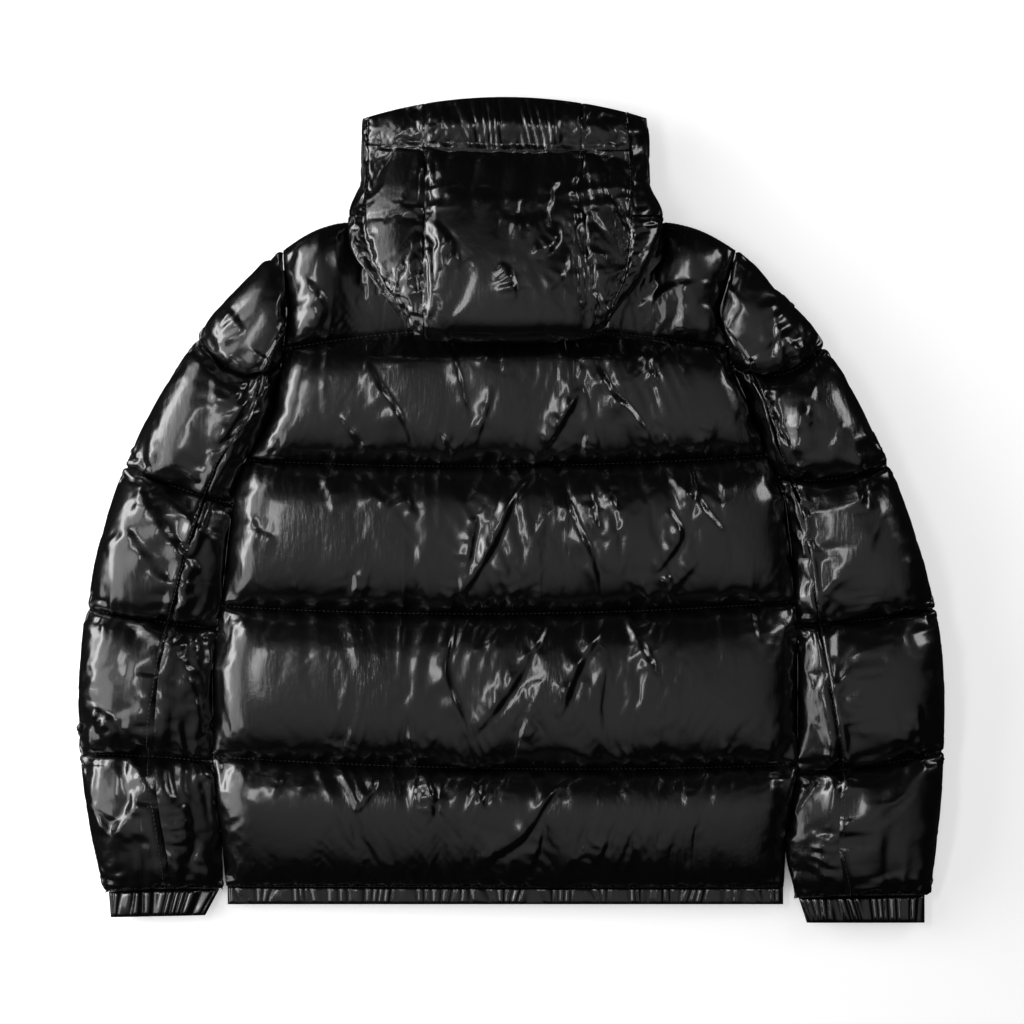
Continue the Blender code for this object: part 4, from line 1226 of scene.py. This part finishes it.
def makeHoodSide(side):
    centre, edge, hand = (7, 5, -1) if side == "left" else (8, 6, 1)
    columns = hood["columns"][side]
    band = hood["bandRows"]
    tRows = np.concatenate([overRows(), 7 + np.sin(np.linspace(0, 1.1, 9))[1:]])
    t = tRows[:, None] + np.zeros(columns + 1)
    f = np.linspace(0, 1, columns + 1)[None, :]
    gap = hand * hood["gap"]
    x = lerp(along(hoodRows, centre, t) + gap, along(hoodRows, edge, t) - gap, f)
    y = hoodY(x, t)
    share = lerp(1.0, hood["start"] + 0.15, rounded(2 * f - 1, 3))
    points = np.stack([x, y, hoodTop(x, t, share)], 2)
    planned = np.stack([x, y, hoodTop(x, t, 1.0)], 2)
    held = rimHeld(x.shape, band)
    points[..., 2] += np.where(held, 0, hood["rumple"]["side"] * swell(points, (16, 24), 41.0 + hand))
    lining = np.stack([x, y, hollowAt(x, t) + lay["liningGap"]], 2)
    finishHoodPiece("hoodSide_" + side, "hood_side_" + side, points, planned, lining, held, 0.03,
                    -hand, 41.0 + hand, [0, band], [0, columns])


# A panel from a side seam over the fold and on under the hood, where it ends at inner. It returns
# the seam, the fold, the panel's x, its shares of the way under and its top from a height at the fold.
def foldedUnder(side, t, inner, overColumns):
    edge, fold = (5, 3) if side == "left" else (6, 4)
    seam = along(hoodRows, edge, t) + hands[side] * hood["gap"]
    rim = along(hoodRows, fold, t)
    a, b = slice(0, overColumns + 1), slice(overColumns + 1, None)
    quarter = np.linspace(0, math.pi / 2, overColumns + 1)
    under = 1 - np.cos(np.linspace(0, math.pi / 2, t.shape[1] - overColumns))[1:]
    over = lerp(seam[:, a], rim[:, a], np.sin(quarter))
    x = np.concatenate([over, lerp(rim[:, b], inner[:, b], under)], 1)

    def top(atRim):
        return lerp(atRim[:, a], hoodTop(seam, t, 1.0)[:, a], np.cos(quarter) ** 0.8)

    return seam, rim, x, under, top


def makeHoodNeck(side):
    hand = hands[side]
    overColumns, underColumns = 10, 16
    a, b = slice(0, overColumns + 1), slice(overColumns + 1, None)
    t = np.linspace(hood["neckRow"], 7.6, 44)[:, None] + np.zeros(overColumns + underColumns + 1)
    inner = along(hoodRows, 7 if side == "left" else 8, t) + hand * 0.0002
    seam, rim, x, _, top = foldedUnder(side, t, inner, overColumns)
    y = hoodY(x, t)
    hollow = hollowAt(x, t)
    z = np.concatenate([top(hollow), hoodUnder(x, t)[:, b]], 1)
    low = lay["bodyMid"] + lay["wall"] + lay["leastFill"]
    share = np.clip(np.abs(x[0] - rim[0]) / np.abs(inner[0] - rim[0]) * 2.5, 0, 1)
    share[a] = 0
    z[0] = lerp(z[0], low, share)
    y[0] = lerp(y[0], topY(x[0], lay["backNeckY"]) + hood["neckGap"], share)
    planned = np.stack([x, y, z], 2)
    held = rimHeld(x.shape)
    points = planned.copy()
    points[..., 2] += np.where(held, 0, hood["rumple"]["under"] * swell(points, (40, 50), 51.0 + hand))
    lining = np.stack([x, y, hollow], 2)
    lining[:, :overColumns, 2] += lay["liningGap"]
    lining[:, b, 2] -= lay["liningGap"]
    nearRim = np.clip(1 - np.abs(x - rim) / 0.012, 0, 1)
    lining[..., 0] = lerp(lining[..., 0], lerp(seam, lining[..., 0], 0.7), nearRim)
    finishHoodPiece("hoodNeck_" + side, "hood_neck_" + side, points, planned, lining, held, 0.02,
                    -hand, 51.0 + hand, [], [0])


def makeCollar(side):
    hand = hands[side]
    overColumns, underColumns = 8, 36
    a, b = slice(0, overColumns + 1), slice(overColumns + 1, None)
    f = np.linspace(0, 1, 35)[:, None] + np.zeros(overColumns + underColumns + 1)
    t = lerp(hood["neckRow"] - 0.08, 0, f)
    zipX = np.full_like(t, lay["centreX"] + hand * zipHalf)
    seam, rim, x, g, top = foldedUnder(side, t, zipX, overColumns)
    y = hoodY(x, t)
    hollow = hollowAt(x, t)
    d = np.clip(np.abs(x - lay["centreX"]) / lay["neckHalf"], 0, 1)
    low = topY(x, lay["frontNeckY"]) + hood["neckGap"]
    high = lerp(hood["chinY"], hoodY(rim, 0 * t), d**2)
    y[:, b] = lerp(low, high, f)[:, b]
    mid = np.minimum(hollow, lay["bodyMid"]) - lay["liningGap"]
    z = mid.copy()
    z[:, a] = top(hollow * 0.6)
    inFull = rounded(2 * f - 1, 4)[:, b] * rounded(g, 16) * (1 - (1 - g) ** 6)
    z[:, b] = lerp(mid[:, b] - lay["wall"], hood["chinLow"], inFull * 0.9)
    planned = np.stack([x, y, z], 2)
    held = rimHeld(x.shape)
    points = planned.copy()
    points[..., 2] += np.where(held, 0, hood["rumple"]["under"] * swell(points, (45, 50), 61.0 + hand))
    lining = np.stack([x, y, mid - lay["liningGap"]], 2)
    lining[:, :overColumns, 2] = (hollow + lay["liningGap"])[:, :overColumns]
    lining[:, overColumns, 0] = lerp(seam, rim, 0.5)[:, overColumns]
    rimLining = lerp(lay["bodyMid"], hollow, smooth(f / 0.35)) - lay["liningGap"]
    lining[:, overColumns, 2] = rimLining[:, overColumns]
    finishHoodPiece("collar_" + side, "collar_" + side, points, planned, lining, held, 0.02,
                    hand, 61.0 + hand, [], [0])


zipChain = {
    "pitch": 0.0030,
    "long": 0.0034,
    "wide": 0.0015,
    "thick": 0.0024,
    "offset": 0.0009,  # of each row from the chain's middle
    "bevel": 0.0003,
}


# The closed chain: two rows of moulded teeth, each gripping between two of the other row.
def makeTeeth():
    bar = bpy.data.objects["zip_chain"].data.vertices
    places = sorted({round(v.co.y, 4) for v in bar})
    heights = [np.mean([v.co.z for v in bar if round(v.co.y, 4) == y]) for y in places]
    low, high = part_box("zip_chain")
    middle = (low[0] + high[0]) / 2
    mesh = bmesh.new()
    bmesh.ops.create_cube(mesh, size=1)
    bmesh.ops.scale(mesh, verts=mesh.verts, vec=(zipChain["long"], zipChain["wide"], zipChain["thick"]))
    bmesh.ops.bevel(mesh, geom=mesh.edges[:], offset=zipChain["bevel"], affect="EDGES", segments=1,
                    profile=0.5, material=-1)
    pattern = mesh.verts[:] + mesh.edges[:] + mesh.faces[:]
    for i in range(int((high[1] - low[1]) / zipChain["pitch"] * 2) - 1):
        y = low[1] + (i + 1) * zipChain["pitch"] / 2
        at = Vector((middle + zipChain["offset"] * (-1) ** i, y, float(np.interp(y, places, heights))))
        copy = bmesh.ops.duplicate(mesh, geom=pattern)["geom"]
        bmesh.ops.translate(mesh, verts=onlyVerts(copy), vec=at)
    bmesh.ops.delete(mesh, geom=onlyVerts(pattern), context="VERTS")
    piece = newObject("zipTeeth", mesh)
    dress(piece, blackenedZinc(), ["zip_chain"])
    print("set the zip's teeth")


def finishZip():
    finishes = {"zip_tape_left": wovenTape(), "zip_slider": blackenedZinc()}
    finishes["zip_tape_right"] = finishes["zip_tape_left"]
    finishes["zip_pull"] = finishes["zip_slider"]
    for node, finish in finishes.items():
        for holder in bpy.data.objects[node].material_slots:
            holder.material = finish
    print("finished the zip")


makeBack()
for side in ("left", "right"):
    makeFront(side)
    makeSleeve(side)
    makeCuff(side)
    makeHoodSide(side)
    makeHoodNeck(side)
    makeCollar(side)
makeHemBand()
makeHoodCentre()
makeTeeth()
finishZip()


def makeFloor():
    mesh = bmesh.new()
    bmesh.ops.create_grid(mesh, x_segments=1, y_segments=1, size=6)
    floor = newObject("floor", mesh)
    made, tree, shader = newMaterial("paintedFloor", {
        "Base Color": colour("#ececec"),
        "Roughness": 0.8,
        "Emission Color": (1, 1, 1, 1),
        "Emission Strength": 0.45,
    })
    # painted shade: ambient occlusion dims the floor's even glow where the jacket covers the floor, darkest
    # in narrow gaps
    paintedGapShade = addNode(tree, "ShaderNodeAmbientOcclusion", {"Distance": 0.05, "samples": 8})
    glowWithPaintedShade = addNode(tree, "ShaderNodeMapRange", {"From Min": 0.08, "From Max": 0.42, "To Max": 0.52},
                   [(paintedGapShade.outputs["AO"], "Value")])
    tree.links.new(glowWithPaintedShade.outputs["Result"], shader.inputs["Emission Strength"])
    floor.data.materials.append(made)
    floor.visible_glossy = False  # a studio's dark flags stand around the jacket, so its edges stay dark


def softbox(name, at, toward, size, strength):
    light = bpy.data.lights.new(name, "AREA")
    light.shape = "RECTANGLE"
    light.size, light.size_y = size
    light.energy = strength
    lamp = bpy.data.objects.new(name, light)
    lamp.location = at
    lamp.rotation_euler = (Vector(toward) - Vector(at)).to_track_quat("-Z", "Y").to_euler()
    lamp.visible_camera = False
    scene.collection.objects.link(lamp)


view = {"lens": 190.0, "width": 1.024, "planeZ": 0.045}


def makeCamera():
    camera = bpy.data.cameras.new("camera")
    camera.lens = view["lens"]
    camera.clip_end = 50
    distance = view["width"] * view["lens"] / camera.sensor_width
    eye = bpy.data.objects.new("camera", camera)
    eye.location = (lay["originX"], lay["originY"], view["planeZ"] + distance)
    scene.collection.objects.link(eye)
    scene.camera = eye


def makeLight():
    world = bpy.data.worlds.new("studio")
    scene.world = world
    world.use_nodes = True
    tree = world.node_tree
    place = addNode(tree, "ShaderNodeTexCoord", {})
    towards = addNode(tree, "ShaderNodeVectorMath", {"operation": "DOT_PRODUCT"},
                      [(place.outputs["Generated"], 0)])
    towards.inputs[1].default_value = Vector((0.05, -0.22, 0.95)).normalized()
    # a dim ceiling, a little brighter on the hem's side, over dark walls
    dimming = {"From Min": 0.61, "From Max": 1.0, "To Min": 0.010, "To Max": 0.40}
    fade = addNode(tree, "ShaderNodeMapRange", dimming, [(towards.outputs["Value"], "Value")])
    sky = tree.nodes["Background"]
    sky.inputs["Color"].default_value = (1, 1, 1, 1)
    tree.links.new(fade.outputs["Result"], sky.inputs["Strength"])
    softbox("leftWide", (-1.15, 0.15, 0.62), (-0.25, 0.05, 0.0), (2.2, 0.9), 17)
    softbox("leftStrip", (-1.30, 0.35, 0.55), (-0.25, 0.10, 0.0), (1.3, 0.35), 12)
    softbox("highStrip", (-0.90, 0.30, 2.2), (0.0, 0.0, 0.0), (1.1, 0.30), 9)
    softbox("rightBox", (1.7, 1.0, 1.2), (0, 0, 0.05), (0.5, 0.9), 9)


makeFloor()
makeLight()
makeCamera()
scene.view_settings.view_transform = "Standard"
